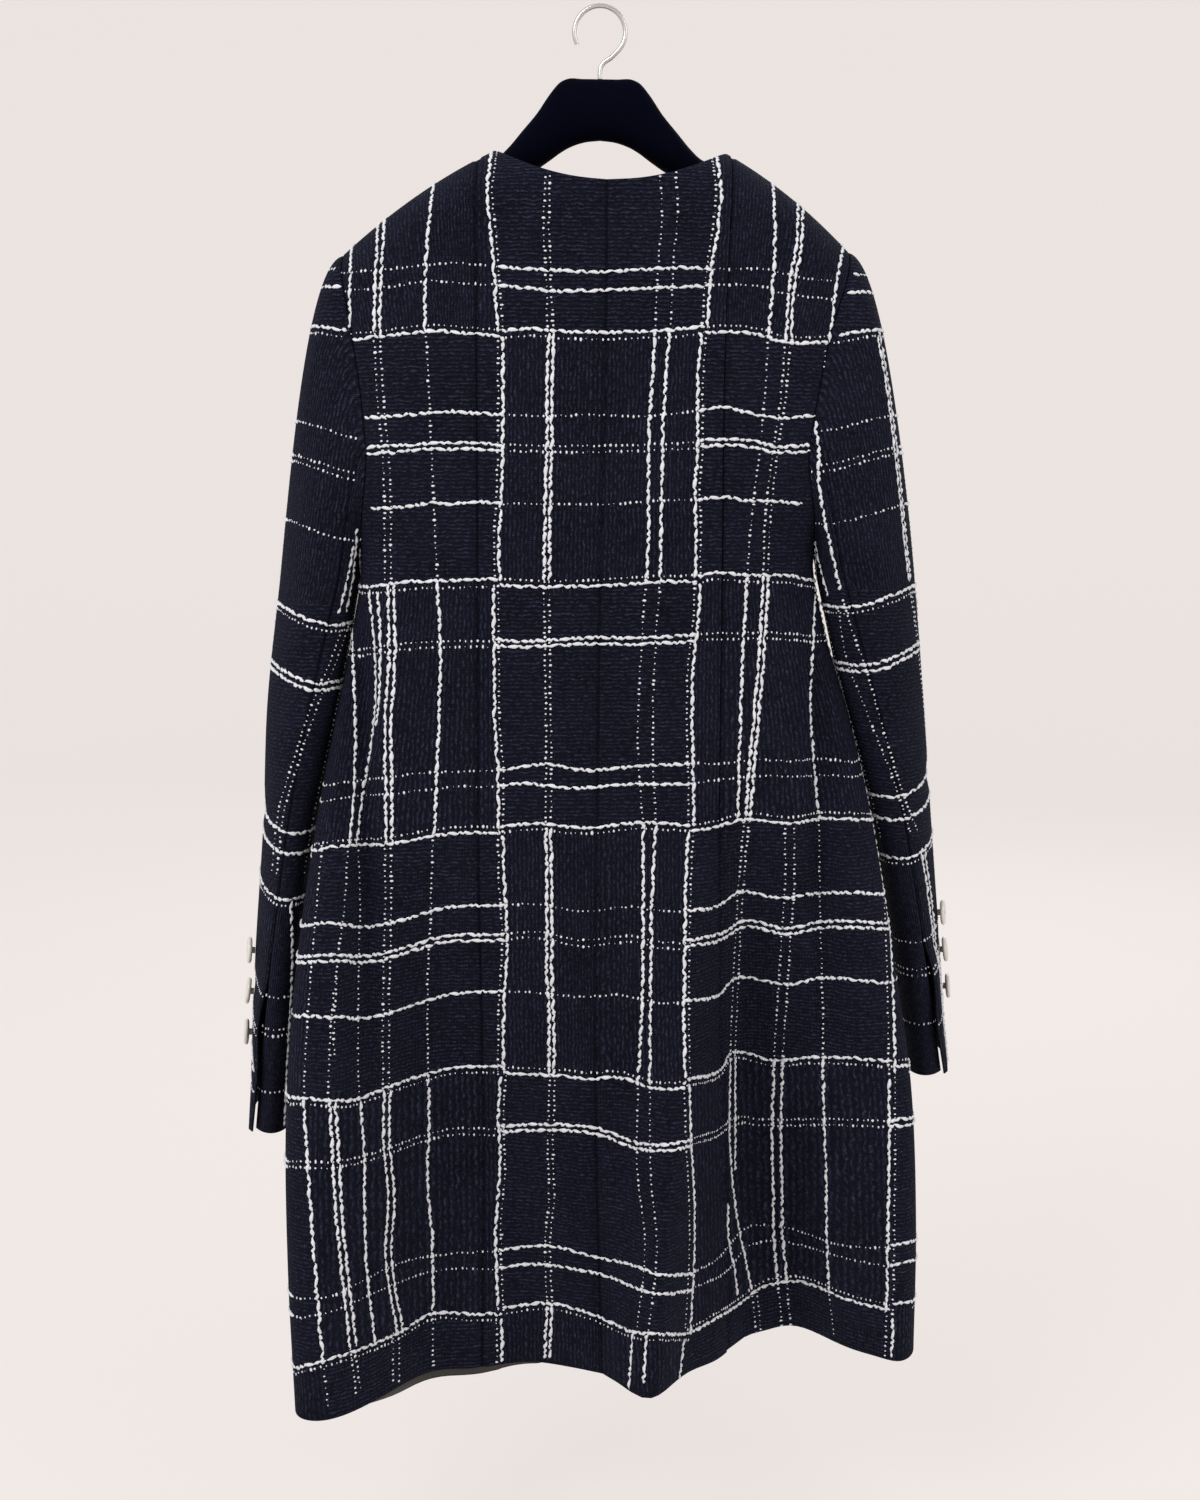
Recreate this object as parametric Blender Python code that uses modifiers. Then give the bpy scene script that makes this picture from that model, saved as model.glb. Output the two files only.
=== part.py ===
"""A collarless tweed coat on a broad hanger, seen from its back.

The origin is the inside of the hook's top, where a rail carries it. X runs to the right of
the back view, Y to the coat's front and Z up. Sizes are in millimetres until a mesh is made.
A drop is a distance below the origin, so Z is minus the drop.
"""

import math

import bpy
import numpy as np
from mathutils import Vector

METRES = 0.001
COLLECTION = "tweed_coat_on_hanger"

# How the surfaces are worked out: rounds until a row settles, the step for a slope, the
# longest mitre, and the one direction that picks how the seam rims are split
SETTLE_ROUNDS = 12
SLOPE_STEP = 1e-3
MITRE_LIMIT = 0.75
RIM_SPLIT = np.array([0.3, 0.5, 0.8])

# Cloth
WALL = 2.5
SEAM_GAP = 0.3

# Body, as drops below the hook
NECK_DROP = 100.0
NECK_CENTRE = 8.0
NECK_HALF = 84.0
BACK_NECK_DEPTH = 25.0
FRONT_NECK_DEPTH = 95.0
BACK_NECK_SQUARENESS = 2.2
FRONT_NECK_SQUARENESS = 2.6
FRONT_NECK_ROUND = 0.55
UNDERARM_DROP = 388.0
HEM_DROP = 1003.0
SQUARENESS = 2.6

# Shoulders: the ridge falls from each neck point to the shoulder point
SHOULDER_LENGTH = 110.0
LEFT_SHOULDER_X = -188.0
RIGHT_SHOULDER_X = 185.0
RIDGE_SLOPE = 0.46
RIDGE_ROUND = 0.0018
RIGHT_FALL = 0.93
RIDGE_TURN = 0.08
RIDGE_BOW = 0.0007
RIDGE_RISE = 12.0
ROLL_HEIGHT = 34.0
ROLL_LENGTH = 60.0

# Plan of the hanging cloth at each drop: the X of its two edges, the depth of its back and
# front from the middle plane, how far that plane turns (Y for each mm of X) and how far its
# edges swing to the back.
SWING_POWER = 3
RING_COLUMNS = ("drop", "left", "right", "back", "front", "turn", "swing")
RINGS = (
    (90, -206, 206, 42, 50, 0.06, -24),
    (160, -206, 204, 50, 60, 0.06, -22),
    (250, -205, 198, 60, 68, 0.07, -14),
    (330, -196, 186, 66, 70, 0.08, -4),
    (388, -175.5, 160, 68, 72, 0.09, 0),
    (440, -181, 167, 68, 74, 0.10, 4),
    (510, -194, 187.5, 68, 76, 0.11, 10),
    (590, -208, 206, 68, 76, 0.12, 20),
    (680, -220, 221, 68, 74, 0.14, 32),
    (790, -228, 238, 68, 72, 0.16, 42),
    (900, -227, 244, 68, 70, 0.18, 50),
    (1005, -222, 244, 68, 70, 0.20, 55),
)

# Folds: the X of each axis at the top and at the hem, the drops where it begins, is full,
# starts to fade and is gone, how far it moves the back and the front (minus is outwards on
# the back), and its half width.
FOLD_COLUMNS = ("top_x", "hem_x", "begins", "full", "fades", "gone", "back", "front", "width")
FOLD_TOP = 500.0
FOLD_BLEND = 0.4
FOLDS = {
    "left lobe": (-190, -200, 430, 760, 1400, 1500, -22, -6, 36),
    "left flank": (-118, -128, 540, 880, 1400, 1500, 30, 0, 32),
    "left valley": (-104, -62, 520, 900, 1400, 1500, 35, 0, 50),
    "centre ridge": (82, 36, 520, 930, 1400, 1500, -46, 0, 24),
    "ridge flank": (97, 112, 480, 860, 1400, 1500, 20, 0, 18),
    "right valley": (102, 150, 450, 920, 1400, 1500, 63, 0, 39),
    "right lobe": (226, 230, 700, 980, 1400, 1500, -12, 0, 16),
    "left groove": (-170, -170, 400, 520, 640, 900, 20, 6, 11),
    "right groove": (158, 190, 400, 520, 640, 860, 18, 6, 11),
    "front left ridge": (-120, -140, 520, 950, 1400, 1500, 0, 22, 34),
    "front left valley": (-60, -64, 560, 950, 1400, 1500, 0, -20, 28),
    "front right ridge": (110, 128, 520, 950, 1400, 1500, 0, 24, 36),
    "front right valley": (62, 66, 560, 950, 1400, 1500, 0, -18, 26),
}

# Seams of the back, as their X at each drop
SEAM_COLUMNS = ("drop", "centre", "left_princess", "right_princess")
SEAMS = (
    (90, 5, -88, 96),
    (250, 4, -87, 89),
    (412, 0, -87, 88),
    (600, -2, -88, 88),
    (800, -3, -88, 92),
    (1005, 1, -89, 99),
)

# Armholes, as the X of their edge at each drop, on the back and on the front
ARMHOLE_COLUMNS = ("drop", "back_left", "front_left", "back_right", "front_right")
ARMHOLES = (
    (150, -190, -190, 187, 187),
    (176, -188, -188, 184, 184),
    (237, -177, -170, 166, 162),
    (277, -171, -163, 158, 154),
    (328, -166, -160, 150, 148),
    (388, -160, -156, 146, 144),
)
ARMHOLE_TURN_DROP = 310.0
CENTRE_COLUMN_COUNT = 7
NECK_CROWDING = 1.7
SIDE_COLUMN_COUNT = 11

# Rows of every body panel: shares of the way from its top edge to the underarm, then from
# there to the hem
UPPER_ROWS = (0, 0.03, 0.07, 0.12, 0.18, 0.26, 0.36, 0.48, 0.60, 0.71, 0.81, 0.89, 0.95, 0.985, 1)
LOWER_ROW_COUNT = 14

# Sleeves: the middle of each section, its half width and half depth, and how far its threads
# have turned about the arm, in degrees
SLEEVE_COLUMNS = ("drop", "x", "y", "half_x", "half_y", "turn")
SLEEVE_SKEW = 0.14
SLEEVES = {
    "left": (
        (410, -209, 2, 30, 58, 0),
        (500, -222, -3, 27.5, 57, 17),
        (590, -233, -7, 21, 55, 33),
        (690, -243, -12, 18.5, 53, 48),
        (815, -251, -15, 17, 50, 72),
    ),
    "right": (
        (410, 201, 22, 37, 55, 0),
        (500, 217, 34, 31.5, 55, 17),
        (590, 234, 50, 24.5, 54, 33),
        (690, 250, 70, 20.5, 52, 48),
        (803, 265, 90, 18, 50, 72),
    ),
}
SLEEVE_ROW_COUNT = 12
CAP_ROW_COUNT = 8
CAP_CROWDING = 1.3
CAP_REACH = 85.0
CAP_SLOPE = 0.2
CAP_FALL = 150.0
UNDERARM_SPREAD = 0.25
UNDERARM_REACH = 20.0
REAR_SEAM_ROW = 9
FRONT_SEAM_ROW = 10

# Vents at the cuffs: the upper sleeve's edge lifts off and then laps over the under sleeve
VENT_HEIGHT = 130.0
VENT_LIFT = 6.5
VENT_LIFT_RUN = 60.0
VENT_LIFT_SHARES = (1.0, 0.45, 0.12)
VENT_LAP = 11.0
VENT_LAP_BELOW = 35.0

# Cuff buttons: turned, with a shank, each on the upper sleeve beside the vent
BUTTON_SHANK = ((0, 0), (2.4, 0), (2.4, 2.2))
BUTTON_RIM = ((8.6, 2.6), (10, 3.6), (10, 5.0), (8.8, 5.9), (7.4, 5.2))
BUTTON_PROFILE = (*BUTTON_SHANK, *BUTTON_RIM, (0, 4.9))
BUTTON_STEPS = 14
BUTTON_COUNT = 3
BUTTON_SPACING = 33.0
BUTTON_ABOVE_CUFF = 62.0
BUTTON_COLUMN = 3

# Lining below the back hem
LINING_WALL = 1.0
LINING_FROM_X = -174.0
LINING_TO_X = -46.0
LINING_SHOWS_LEFT = 8.5
LINING_SHOWS_RIGHT = 2.5
LINING_END_SHARE = 0.1
LINING_RISE = 0.2
LINING_TUCK = 0.7
LINING_CLEARANCE = 0.6

# Hanger: half its outline at each distance from its centre
HANGER_REACH = 174.0
HANGER_COLUMNS = ("out", "top", "bottom", "half_depth", "splits")
HANGER = (
    (0, 49.3, 92, 13, 1),
    (12, 49.3, 93.5, 13, 1),
    (24, 49.5, 98, 13.5, 1),
    (29, 52, 101, 14, 1),
    (36, 60, 106, 14.5, 1),
    (45, 73, 112, 15.5, 1),
    (56, 86, 118, 17, 1),
    (66, 97.5, 124, 15.5, 1),
    (74, 104.4, 130, 15, 3),
    (90, 104, 142, 14.5, 4),
    (130, 104, 168, 20, 6),
    (174, 104, 204, 22, 0),
)
HANGER_SIDE_COUNT = 16
HANGER_SQUARENESS = 2.3
HANGER_END_ROUND = 14.0
HANGER_END_LIFT = 0.6
HANGER_TUCK = 3.0
HANGER_CLEARANCE = 0.9

# Hook
HOOK_INNER_RADIUS = 16.5
HOOK_WIRE_RADIUS = 1.8
HOOK_START_DEGREES = -48.0
HOOK_END_DEGREES = 206.0
HOOK_ARC_POINTS = 22
HOOK_SHANK = ((7.5, -34.6), (2.6, -37.6), (0.5, -41.0), (0, -45), (0, -49.0))

# Finishes: colour, roughness, how metallic
FINISHES = {
    "tweed": ((0.012, 0.012, 0.017), 0.95, 0.0),
    "button": ((0.7, 0.68, 0.63), 0.35, 0.0),
    "lining": ((0.03, 0.018, 0.012), 0.5, 0.0),
    "hanger": ((0.006, 0.006, 0.009), 0.7, 0.0),
    "hook": ((0.55, 0.55, 0.55), 0.3, 1.0),
}


def smooth_step(share):
    share = np.clip(share, 0.0, 1.0)
    return share * share * (3.0 - 2.0 * share)


def column(rows, names, name):
    return np.array([row[names.index(name)] for row in rows], float)


def curve_through(levels, values, at):
    """A smooth curve through a table's column, held level past its ends."""
    at = np.clip(at, levels[0], levels[-1])
    slopes = np.gradient(values, levels)
    low = np.clip(np.searchsorted(levels, at, side="right") - 1, 0, len(levels) - 2)
    span = levels[low + 1] - levels[low]
    share = (at - levels[low]) / span
    start = values[low] * (1 + 2 * share) * (1 - share) ** 2
    end = values[low + 1] * share**2 * (3 - 2 * share)
    bend = span * share * (1 - share) * (slopes[low] * (1 - share) - slopes[low + 1] * share)
    return start + end + bend


def table_value(rows, names, name, drop):
    return curve_through(column(rows, names, "drop"), column(rows, names, name), drop)


def ring_value(name, drop):
    return table_value(RINGS, RING_COLUMNS, name, drop)


def signed_power(value, power):
    return np.sign(value) * np.abs(value) ** power


def fold_shift(x, backness, drop):
    """How far the folds move the cloth along Y."""
    shift = np.zeros(np.broadcast(x, drop).shape)
    for row in FOLDS.values():
        fold = dict(zip(FOLD_COLUMNS, row))
        down = (drop - FOLD_TOP) / (HEM_DROP - FOLD_TOP)
        axis = fold["top_x"] + (fold["hem_x"] - fold["top_x"]) * down
        grown = smooth_step((drop - fold["begins"]) / (fold["full"] - fold["begins"]))
        faded = smooth_step((drop - fold["fades"]) / (fold["gone"] - fold["fades"]))
        amount = fold["back"] * backness + fold["front"] * (1 - backness)
        shift = shift + amount * grown * (1 - faded) * np.exp(-(((x - axis) / fold["width"]) ** 2))
    return shift


def across_of(angle):
    return signed_power(np.sin(angle), 2 / SQUARENESS)


def ring_x(angle, drop):
    left = ring_value("left", drop)
    right = ring_value("right", drop)
    return (left + right) / 2 + (right - left) / 2 * across_of(angle)


def ring_y(angle, drop):
    """Y of the hanging cloth. The angle is 0 at the middle of the back, 90 degrees at the right edge."""
    x = ring_x(angle, drop)
    towards_back = signed_power(np.cos(angle), 2 / SQUARENESS)
    depth = np.where(towards_back > 0, ring_value("back", drop), ring_value("front", drop))
    swing = ring_value("swing", drop) * np.abs(across_of(angle)) ** SWING_POWER
    backness = smooth_step((towards_back + FOLD_BLEND) / (2 * FOLD_BLEND))
    plane = ring_value("turn", drop) * x - swing
    return plane - depth * towards_back + fold_shift(x, backness, drop)


def angle_at(x, drop):
    """The back's angle at an X. The front's is 180 degrees less it."""
    left = ring_value("left", drop)
    right = ring_value("right", drop)
    across = np.clip((x - (left + right) / 2) / ((right - left) / 2), -1, 1)
    return np.arcsin(signed_power(across, SQUARENESS / 2))


def from_neck(x):
    """Distance along the shoulder from the neck point, scaled alike; below 0 inside the neck."""
    left_scale = SHOULDER_LENGTH / (NECK_CENTRE - NECK_HALF - LEFT_SHOULDER_X)
    right_scale = SHOULDER_LENGTH / (RIGHT_SHOULDER_X - NECK_CENTRE - NECK_HALF)
    out = np.abs(x - NECK_CENTRE) - NECK_HALF
    return out * np.where(x < NECK_CENTRE, left_scale, right_scale)


def ridge_drop(x):
    out = np.maximum(from_neck(x), 0)
    fall = (RIDGE_SLOPE * out + RIDGE_ROUND * out**2) * np.where(x > NECK_CENTRE, RIGHT_FALL, 1)
    inside = np.clip(1 - np.abs(x - NECK_CENTRE) / NECK_HALF, 0, 1)
    return NECK_DROP + fall - RIDGE_RISE * smooth_step(inside)


def ridge_y(x):
    return RIDGE_TURN * x + RIDGE_BOW * x**2


def neck_drop(x, front):
    """Drop of the neckline, or of the shoulder ridge beside it."""
    out = np.clip(np.abs(x - NECK_CENTRE) / NECK_HALF, 0, 1)
    if front:
        return ridge_drop(x) * (out >= 1) + (out < 1) * (
            NECK_DROP + FRONT_NECK_DEPTH * (1 - out**FRONT_NECK_SQUARENESS) ** FRONT_NECK_ROUND
        )
    return ridge_drop(x) * (out >= 1) + (out < 1) * (
        NECK_DROP + BACK_NECK_DEPTH * (1 - out**BACK_NECK_SQUARENESS)
    )


def length_at(x, drop):
    """Cloth length from the ridge down to a drop."""
    below = np.maximum(drop - ridge_drop(x), 0)
    rolled = np.arccos(np.clip(1 - below / ROLL_HEIGHT, 0, 1)) / (math.pi / 2) * ROLL_LENGTH
    return np.where(below < ROLL_HEIGHT, rolled, ROLL_LENGTH + below - ROLL_HEIGHT)


def drop_at(x, length):
    roll = np.clip(length / ROLL_LENGTH, 0, 1) * math.pi / 2
    return ridge_drop(x) + ROLL_HEIGHT * (1 - np.cos(roll)) + np.maximum(length - ROLL_LENGTH, 0)


def row_drop(x, row, front):
    """Drop of a panel's row at an X. Rows 0 to 1 are above the underarm, 1 to 2 below it."""
    top = length_at(x, neck_drop(x, front))
    underarm = length_at(x, np.full(np.shape(x), UNDERARM_DROP))
    upper = drop_at(x, top + np.minimum(row, 1) * (underarm - top))
    lower = UNDERARM_DROP + (row - 1) * (HEM_DROP - UNDERARM_DROP)
    return np.where(row < 1, upper, lower)


def body_point(angle, row, front):
    """Point on the outside of the body cloth."""
    angle = np.asarray(angle, float)
    row = np.broadcast_to(np.asarray(row, float), angle.shape)
    drop = np.full(angle.shape, UNDERARM_DROP / 2)
    for _ in range(SETTLE_ROUNDS):
        x = ring_x(angle, drop)
        drop = row_drop(x, row, front)
    x = ring_x(angle, drop)
    roll = np.clip(length_at(x, drop) / ROLL_LENGTH, 0, 1) * math.pi / 2
    rest = ridge_y(x)
    y = rest + (ring_y(angle, drop) - rest) * np.sin(roll)
    return np.stack([x, y, -drop], axis=-1)


def armhole_angle(side, front, drop):
    """Angle of the armhole's edge, or of the side seam below it."""
    name = ("front_" if front else "back_") + side
    x = table_value(ARMHOLES, ARMHOLE_COLUMNS, name, drop)
    edge = np.abs(angle_at(x, drop))
    turned = np.clip((drop - ARMHOLE_TURN_DROP) / (UNDERARM_DROP - ARMHOLE_TURN_DROP), 0, 1)
    quarter = math.pi / 2
    return quarter - (quarter - edge) * np.sqrt(1 - turned**2)


def seam_angle(name, drop):
    return angle_at(table_value(SEAMS, SEAM_COLUMNS, name, drop), drop)


def edge_angle(edge, side, front, row):
    """Angle of a panel's edge at a row, for the back; the front mirrors it."""
    sign = -1 if side == "left" else 1
    drop = np.full(np.shape(row), UNDERARM_DROP / 2)
    for _ in range(SETTLE_ROUNDS):
        if edge == "armhole":
            angle = sign * armhole_angle(side, front, drop)
        else:
            angle = seam_angle(edge, drop)
        drop = row_drop(ring_x(angle, drop), row, front)
    return angle


def to_front(angle, side):
    sign = -1 if side == "left" else 1
    return sign * math.pi - angle


def panel_rows():
    lower = 1 + np.arange(1, LOWER_ROW_COUNT + 1) / LOWER_ROW_COUNT
    return np.concatenate([UPPER_ROWS, lower])


def surface_normals(point_at, first, second):
    """Unit normals of a surface, from its slopes."""
    along = point_at(first + SLOPE_STEP, second) - point_at(first - SLOPE_STEP, second)
    down = point_at(first, second + SLOPE_STEP) - point_at(first, second - SLOPE_STEP)
    normal = np.cross(along, down)
    return normal / np.linalg.norm(normal, axis=-1, keepdims=True)


def body_grid(side, front, edges, fractions):
    """Outer points and unit normals of a body panel between two edges."""
    rows = panel_rows()

    def point_at(fraction, row):
        first = edge_angle(edges[0], side, front, row)
        last = edge_angle(edges[1], side, front, row)
        angle = first + (last - first) * fraction
        if front:
            angle = to_front(angle, side)
        return body_point(angle, row, front)

    fraction, row = np.meshgrid(fractions, rows)
    points = point_at(fraction, row)
    normals = surface_normals(point_at, fraction, row)
    outwards = outward_sign(points, normals)
    return points, normals * outwards


def outward_sign(points, normals):
    """1 if the normals point away from the middle of the points' ring, else -1."""
    half = len(points) // 2
    middle = np.array([0.0, 0.0, 0.0])
    middle[2] = points[half, :, 2].mean()
    return np.sign(((points[half] - middle) * normals[half]).sum())


def armhole_points(side, share):
    """Points of the armhole: share 0 at the shoulder, -1 or 1 at the underarm by the back or front."""
    share = np.asarray(share, float)
    rows = np.abs(share)
    back = body_point(edge_angle("armhole", side, False, rows), rows, False)
    front_angle = to_front(edge_angle("armhole", side, True, rows), side)
    front = body_point(front_angle, rows, True)
    return np.where(share[..., None] <= 0, back, front)


def sleeve_bearing(side, share):
    """Where a thread from the armhole lies round the arm: 0 at the rear, 90 degrees outside."""
    steps = np.linspace(0, 1, 41) ** 0.5
    bearing = np.zeros(np.shape(share))
    for way in (-1, 1):
        run = armhole_points(side, way * steps)
        lengths = np.linalg.norm(np.diff(run, axis=0), axis=1)
        travelled = np.concatenate([[0], np.cumsum(lengths)]) / lengths.sum()
        along = np.interp(np.abs(share), steps, travelled)
        bearing = np.where(share * way >= 0, math.pi / 2 + way * math.pi * along, bearing)
    return bearing


def sleeve_ring(side, bearing, drop):
    rows = SLEEVES[side]
    middle_x = table_value(rows, SLEEVE_COLUMNS, "x", drop)
    middle_y = table_value(rows, SLEEVE_COLUMNS, "y", drop)
    half_x = table_value(rows, SLEEVE_COLUMNS, "half_x", drop)
    half_y = table_value(rows, SLEEVE_COLUMNS, "half_y", drop)
    turned = bearing + np.radians(table_value(rows, SLEEVE_COLUMNS, "turn", drop))
    sign = -1 if side == "left" else 1
    y = middle_y - half_y * np.cos(turned)
    x = middle_x + sign * (half_x * np.sin(turned) + SLEEVE_SKEW * (y - middle_y))
    return np.stack([x, y, -np.broadcast_to(drop, x.shape)], axis=-1)


def sleeve_point(side, share, row):
    """Point on the outside of a sleeve. Rows 0 to 1 are the cap, 1 to 2 the arm."""
    share, row = np.broadcast_arrays(np.asarray(share, float), np.asarray(row, float))
    sign = -1 if side == "left" else 1
    top_drop = SLEEVES[side][0][0]
    cuff_drop = SLEEVES[side][-1][0]
    bearing = sleeve_bearing(side, share)
    start = armhole_points(side, share)
    end = sleeve_ring(side, bearing, np.full(share.shape, float(top_drop)))
    next_down = sleeve_ring(side, bearing, np.full(share.shape, top_drop + 1.0))
    shoulder = armhole_points(side, np.array([0.0]))[0, 2]
    height = ((start[..., 2] + UNDERARM_DROP) / (shoulder + UNDERARM_DROP))[..., None]
    leave = height * CAP_REACH * np.array([sign, 0, -CAP_SLOPE])
    leave = leave + (1 - height) * UNDERARM_REACH * np.array([sign * UNDERARM_SPREAD, 0, -1])
    arrive = (next_down - end) * (height * CAP_FALL + (1 - height) * UNDERARM_REACH)
    t = np.clip(row, 0, 1)[..., None]
    cap = (
        start * (1 + 2 * t) * (1 - t) ** 2
        + end * t**2 * (3 - 2 * t)
        + leave * t * (1 - t) ** 2
        - arrive * t**2 * (1 - t)
    )
    drop = top_drop + (np.maximum(row, 1) - 1) * (cuff_drop - top_drop)
    return np.where((row < 1)[..., None], cap, sleeve_ring(side, bearing, drop))


def sleeve_rows():
    cap = np.linspace(0, 1, CAP_ROW_COUNT + 1) ** CAP_CROWDING
    arm = 1 + np.arange(1, SLEEVE_ROW_COUNT + 1) / SLEEVE_ROW_COUNT
    return np.concatenate([cap, arm])


def sleeve_shares(upper):
    back = -np.array(UPPER_ROWS)
    front = np.array(UPPER_ROWS)
    if upper:
        return np.concatenate([back[REAR_SEAM_ROW::-1], front[1 : FRONT_SEAM_ROW + 1]])
    return np.concatenate([front[FRONT_SEAM_ROW:], back[REAR_SEAM_ROW:-1][::-1]])


def sleeve_grid(side, shares):
    row, share = np.meshgrid(sleeve_rows(), shares, indexing="ij")

    def point_at(share_step, row_at):
        return sleeve_point(side, step_round(share, share_step), row_at)

    points = sleeve_point(side, share, row)
    along = point_at(SLOPE_STEP, row) - point_at(-SLOPE_STEP, row)
    down = point_at(0, row + SLOPE_STEP) - point_at(0, np.maximum(row - SLOPE_STEP, 0))
    normals = np.cross(along, down)
    normals /= np.linalg.norm(normals, axis=-1, keepdims=True)
    axis_x = table_value(SLEEVES[side], SLEEVE_COLUMNS, "x", -points[-1, 0, 2])
    axis_y = table_value(SLEEVES[side], SLEEVE_COLUMNS, "y", -points[-1, 0, 2])
    middle = np.array([axis_x, axis_y, points[-1, 0, 2]])
    outwards = np.sign(((points[-1] - middle) * normals[-1]).sum())
    return points, normals * outwards


def step_round(share, step):
    """A share moved round the armhole, past the shoulder or the underarm."""
    moved = share + step
    return np.where(moved > 1, moved - 2, np.where(moved < -1, moved + 2, moved))


def mitre(first, second):
    """The way in from a seam where two cloths meet at an angle, scaled for one wall of depth."""
    both = first + second
    scale = 2 / (both * both).sum(axis=-1, keepdims=True)
    return both * np.minimum(scale, MITRE_LIMIT)


def armhole_ways_in(side):
    """For each armhole share, the way in that the body and the sleeve both use."""
    ways = {}
    for front in (False, True):
        rows = np.array(UPPER_ROWS)
        sign = 1 if front else -1
        edges = ("centre", "armhole")
        _, body_normals = body_grid(side, front, edges, np.array([1.0]))
        _, sleeve_normals = sleeve_grid(side, sign * rows)
        for index, row in enumerate(rows):
            ways[sign * row] = mitre(body_normals[index, 0], sleeve_normals[0, index])
    return ways


def shell(name, points, ways_in, seams, finish, wall=WALL):
    """A closed wall between a grid of outer points and the same grid moved in."""
    inner = points - wall * ways_in
    skins = []
    for skin in (points, inner):
        skin = skin.copy()
        moved = skin.copy()
        if "first" in seams:
            moved[:, 0] += step_to(skin[:, 0], skin[:, 1])
        if "last" in seams:
            moved[:, -1] += step_to(skin[:, -1], skin[:, -2])
        if "top" in seams or "shoulder" in seams:
            first = 0 if "top" in seams else CENTRE_COLUMN_COUNT - 1
            moved[0, first:] += step_to(skin[0, first:], skin[1, first:])
        skins.append(moved)
    return closed_grid(name, skins[0], skins[1], finish)


def step_to(start, end):
    way = end - start
    return way / np.linalg.norm(way, axis=-1, keepdims=True) * SEAM_GAP / 2


def closed_grid(name, outer, inner, finish):
    """A closed mesh of two matching grids, joined round their rims."""
    rows, columns = outer.shape[:2]
    count = rows * columns

    def at(row, column_index, skin):
        return skin * count + row * columns + column_index

    faces = []
    for row in range(rows - 1):
        for col in range(columns - 1):
            quad = [at(row, col, 0), at(row + 1, col, 0), at(row + 1, col + 1, 0), at(row, col + 1, 0)]
            faces.append(quad)
            faces.append([corner + count for corner in reversed(quad)])
    rim = [(0, col) for col in range(columns)]
    rim += [(row, columns - 1) for row in range(1, rows)]
    rim += [(rows - 1, col) for col in range(columns - 2, -1, -1)]
    rim += [(row, 0) for row in range(rows - 2, 0, -1)]
    for start, end in zip(rim, rim[1:] + rim[:1]):
        outer_start, outer_end = at(*start, 0), at(*end, 0)
        inner_start, inner_end = at(*start, 1), at(*end, 1)
        if (outer[start] - outer[end]) @ RIM_SPLIT > 0:
            faces.append([outer_start, outer_end, inner_end])
            faces.append([outer_start, inner_end, inner_start])
        else:
            faces.append([outer_start, outer_end, inner_start])
            faces.append([outer_end, inner_end, inner_start])
    vertices = np.concatenate([outer.reshape(-1, 3), inner.reshape(-1, 3)]) * METRES
    return mesh_object(name, vertices, faces, finish)


def mesh_object(name, vertices, faces, finish):
    mesh = bpy.data.meshes.new(name)
    mesh.from_pydata([tuple(vertex) for vertex in vertices], [], faces)
    mesh.update()
    if signed_volume(mesh) < 0:
        mesh.flip_normals()
    thing = bpy.data.objects.new(name, mesh)
    thing.data.materials.append(finish)
    bpy.data.collections[COLLECTION].objects.link(thing)
    return thing


def signed_volume(mesh):
    mesh.calc_loop_triangles()
    volume = 0.0
    for triangle in mesh.loop_triangles:
        first, second, third = (mesh.vertices[index].co for index in triangle.vertices)
        volume += first.dot(second.cross(third)) / 6
    return volume


def finish_of(name):
    colour, roughness, metallic = FINISHES[name]
    made = bpy.data.materials.new(name)
    made.use_nodes = True
    shader = made.node_tree.nodes["Principled BSDF"]
    shader.inputs["Base Color"].default_value = (*colour, 1)
    shader.inputs["Roughness"].default_value = roughness
    shader.inputs["Metallic"].default_value = metallic
    return made


def body_ways(side, front, edges, fractions, armhole_ways):
    points, ways = body_grid(side, front, edges, fractions)
    if edges[1] == "armhole":
        sign = 1 if front else -1
        for index, row in enumerate(UPPER_ROWS):
            ways[index, -1] = armhole_ways[sign * row]
    return points, ways


def top_angle(edge, side):
    return float(edge_angle(edge, side, False, np.array([0.0]))[0])


def centre_fractions(side):
    """Columns of a middle back panel, one of them at the neck point."""
    sign = -1 if side == "left" else 1
    neck_x = NECK_CENTRE + sign * NECK_HALF
    neck = float(angle_at(neck_x, ridge_drop(neck_x)))
    first = top_angle("centre", side)
    last = top_angle(side + "_princess", side)
    neck_share = (neck - first) / (last - first)
    across = 1 - (1 - np.linspace(0, 1, CENTRE_COLUMN_COUNT)) ** NECK_CROWDING
    return np.append(neck_share * across, 1)


def front_fractions(side):
    """Columns of a front, which meet those of the back along the shoulder."""
    first = top_angle("centre", side)
    princess = top_angle(side + "_princess", side)
    last = top_angle("armhole", side)
    middle = first + (princess - first) * centre_fractions(side)
    outer = princess + (last - princess) * np.linspace(0, 1, SIDE_COLUMN_COUNT)
    return (np.concatenate([middle, outer[1:]]) - first) / (last - first)


def body_panels(side, cloth):
    ways = armhole_ways_in(side)
    princess = side + "_princess"
    outward = np.linspace(0, 1, SIDE_COLUMN_COUNT)
    centre = body_ways(side, False, ("centre", princess), centre_fractions(side), ways)
    shell("back_centre_" + side, *centre, ("first", "last", "shoulder"), cloth)
    outer = body_ways(side, False, (princess, "armhole"), outward, ways)
    shell("back_side_" + side, *outer, ("first", "last", "top"), cloth)
    front = body_ways(side, True, ("centre", "armhole"), front_fractions(side), ways)
    shell("front_" + side, *front, ("first", "last", "shoulder"), cloth)
    return ways, centre, outer


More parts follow.
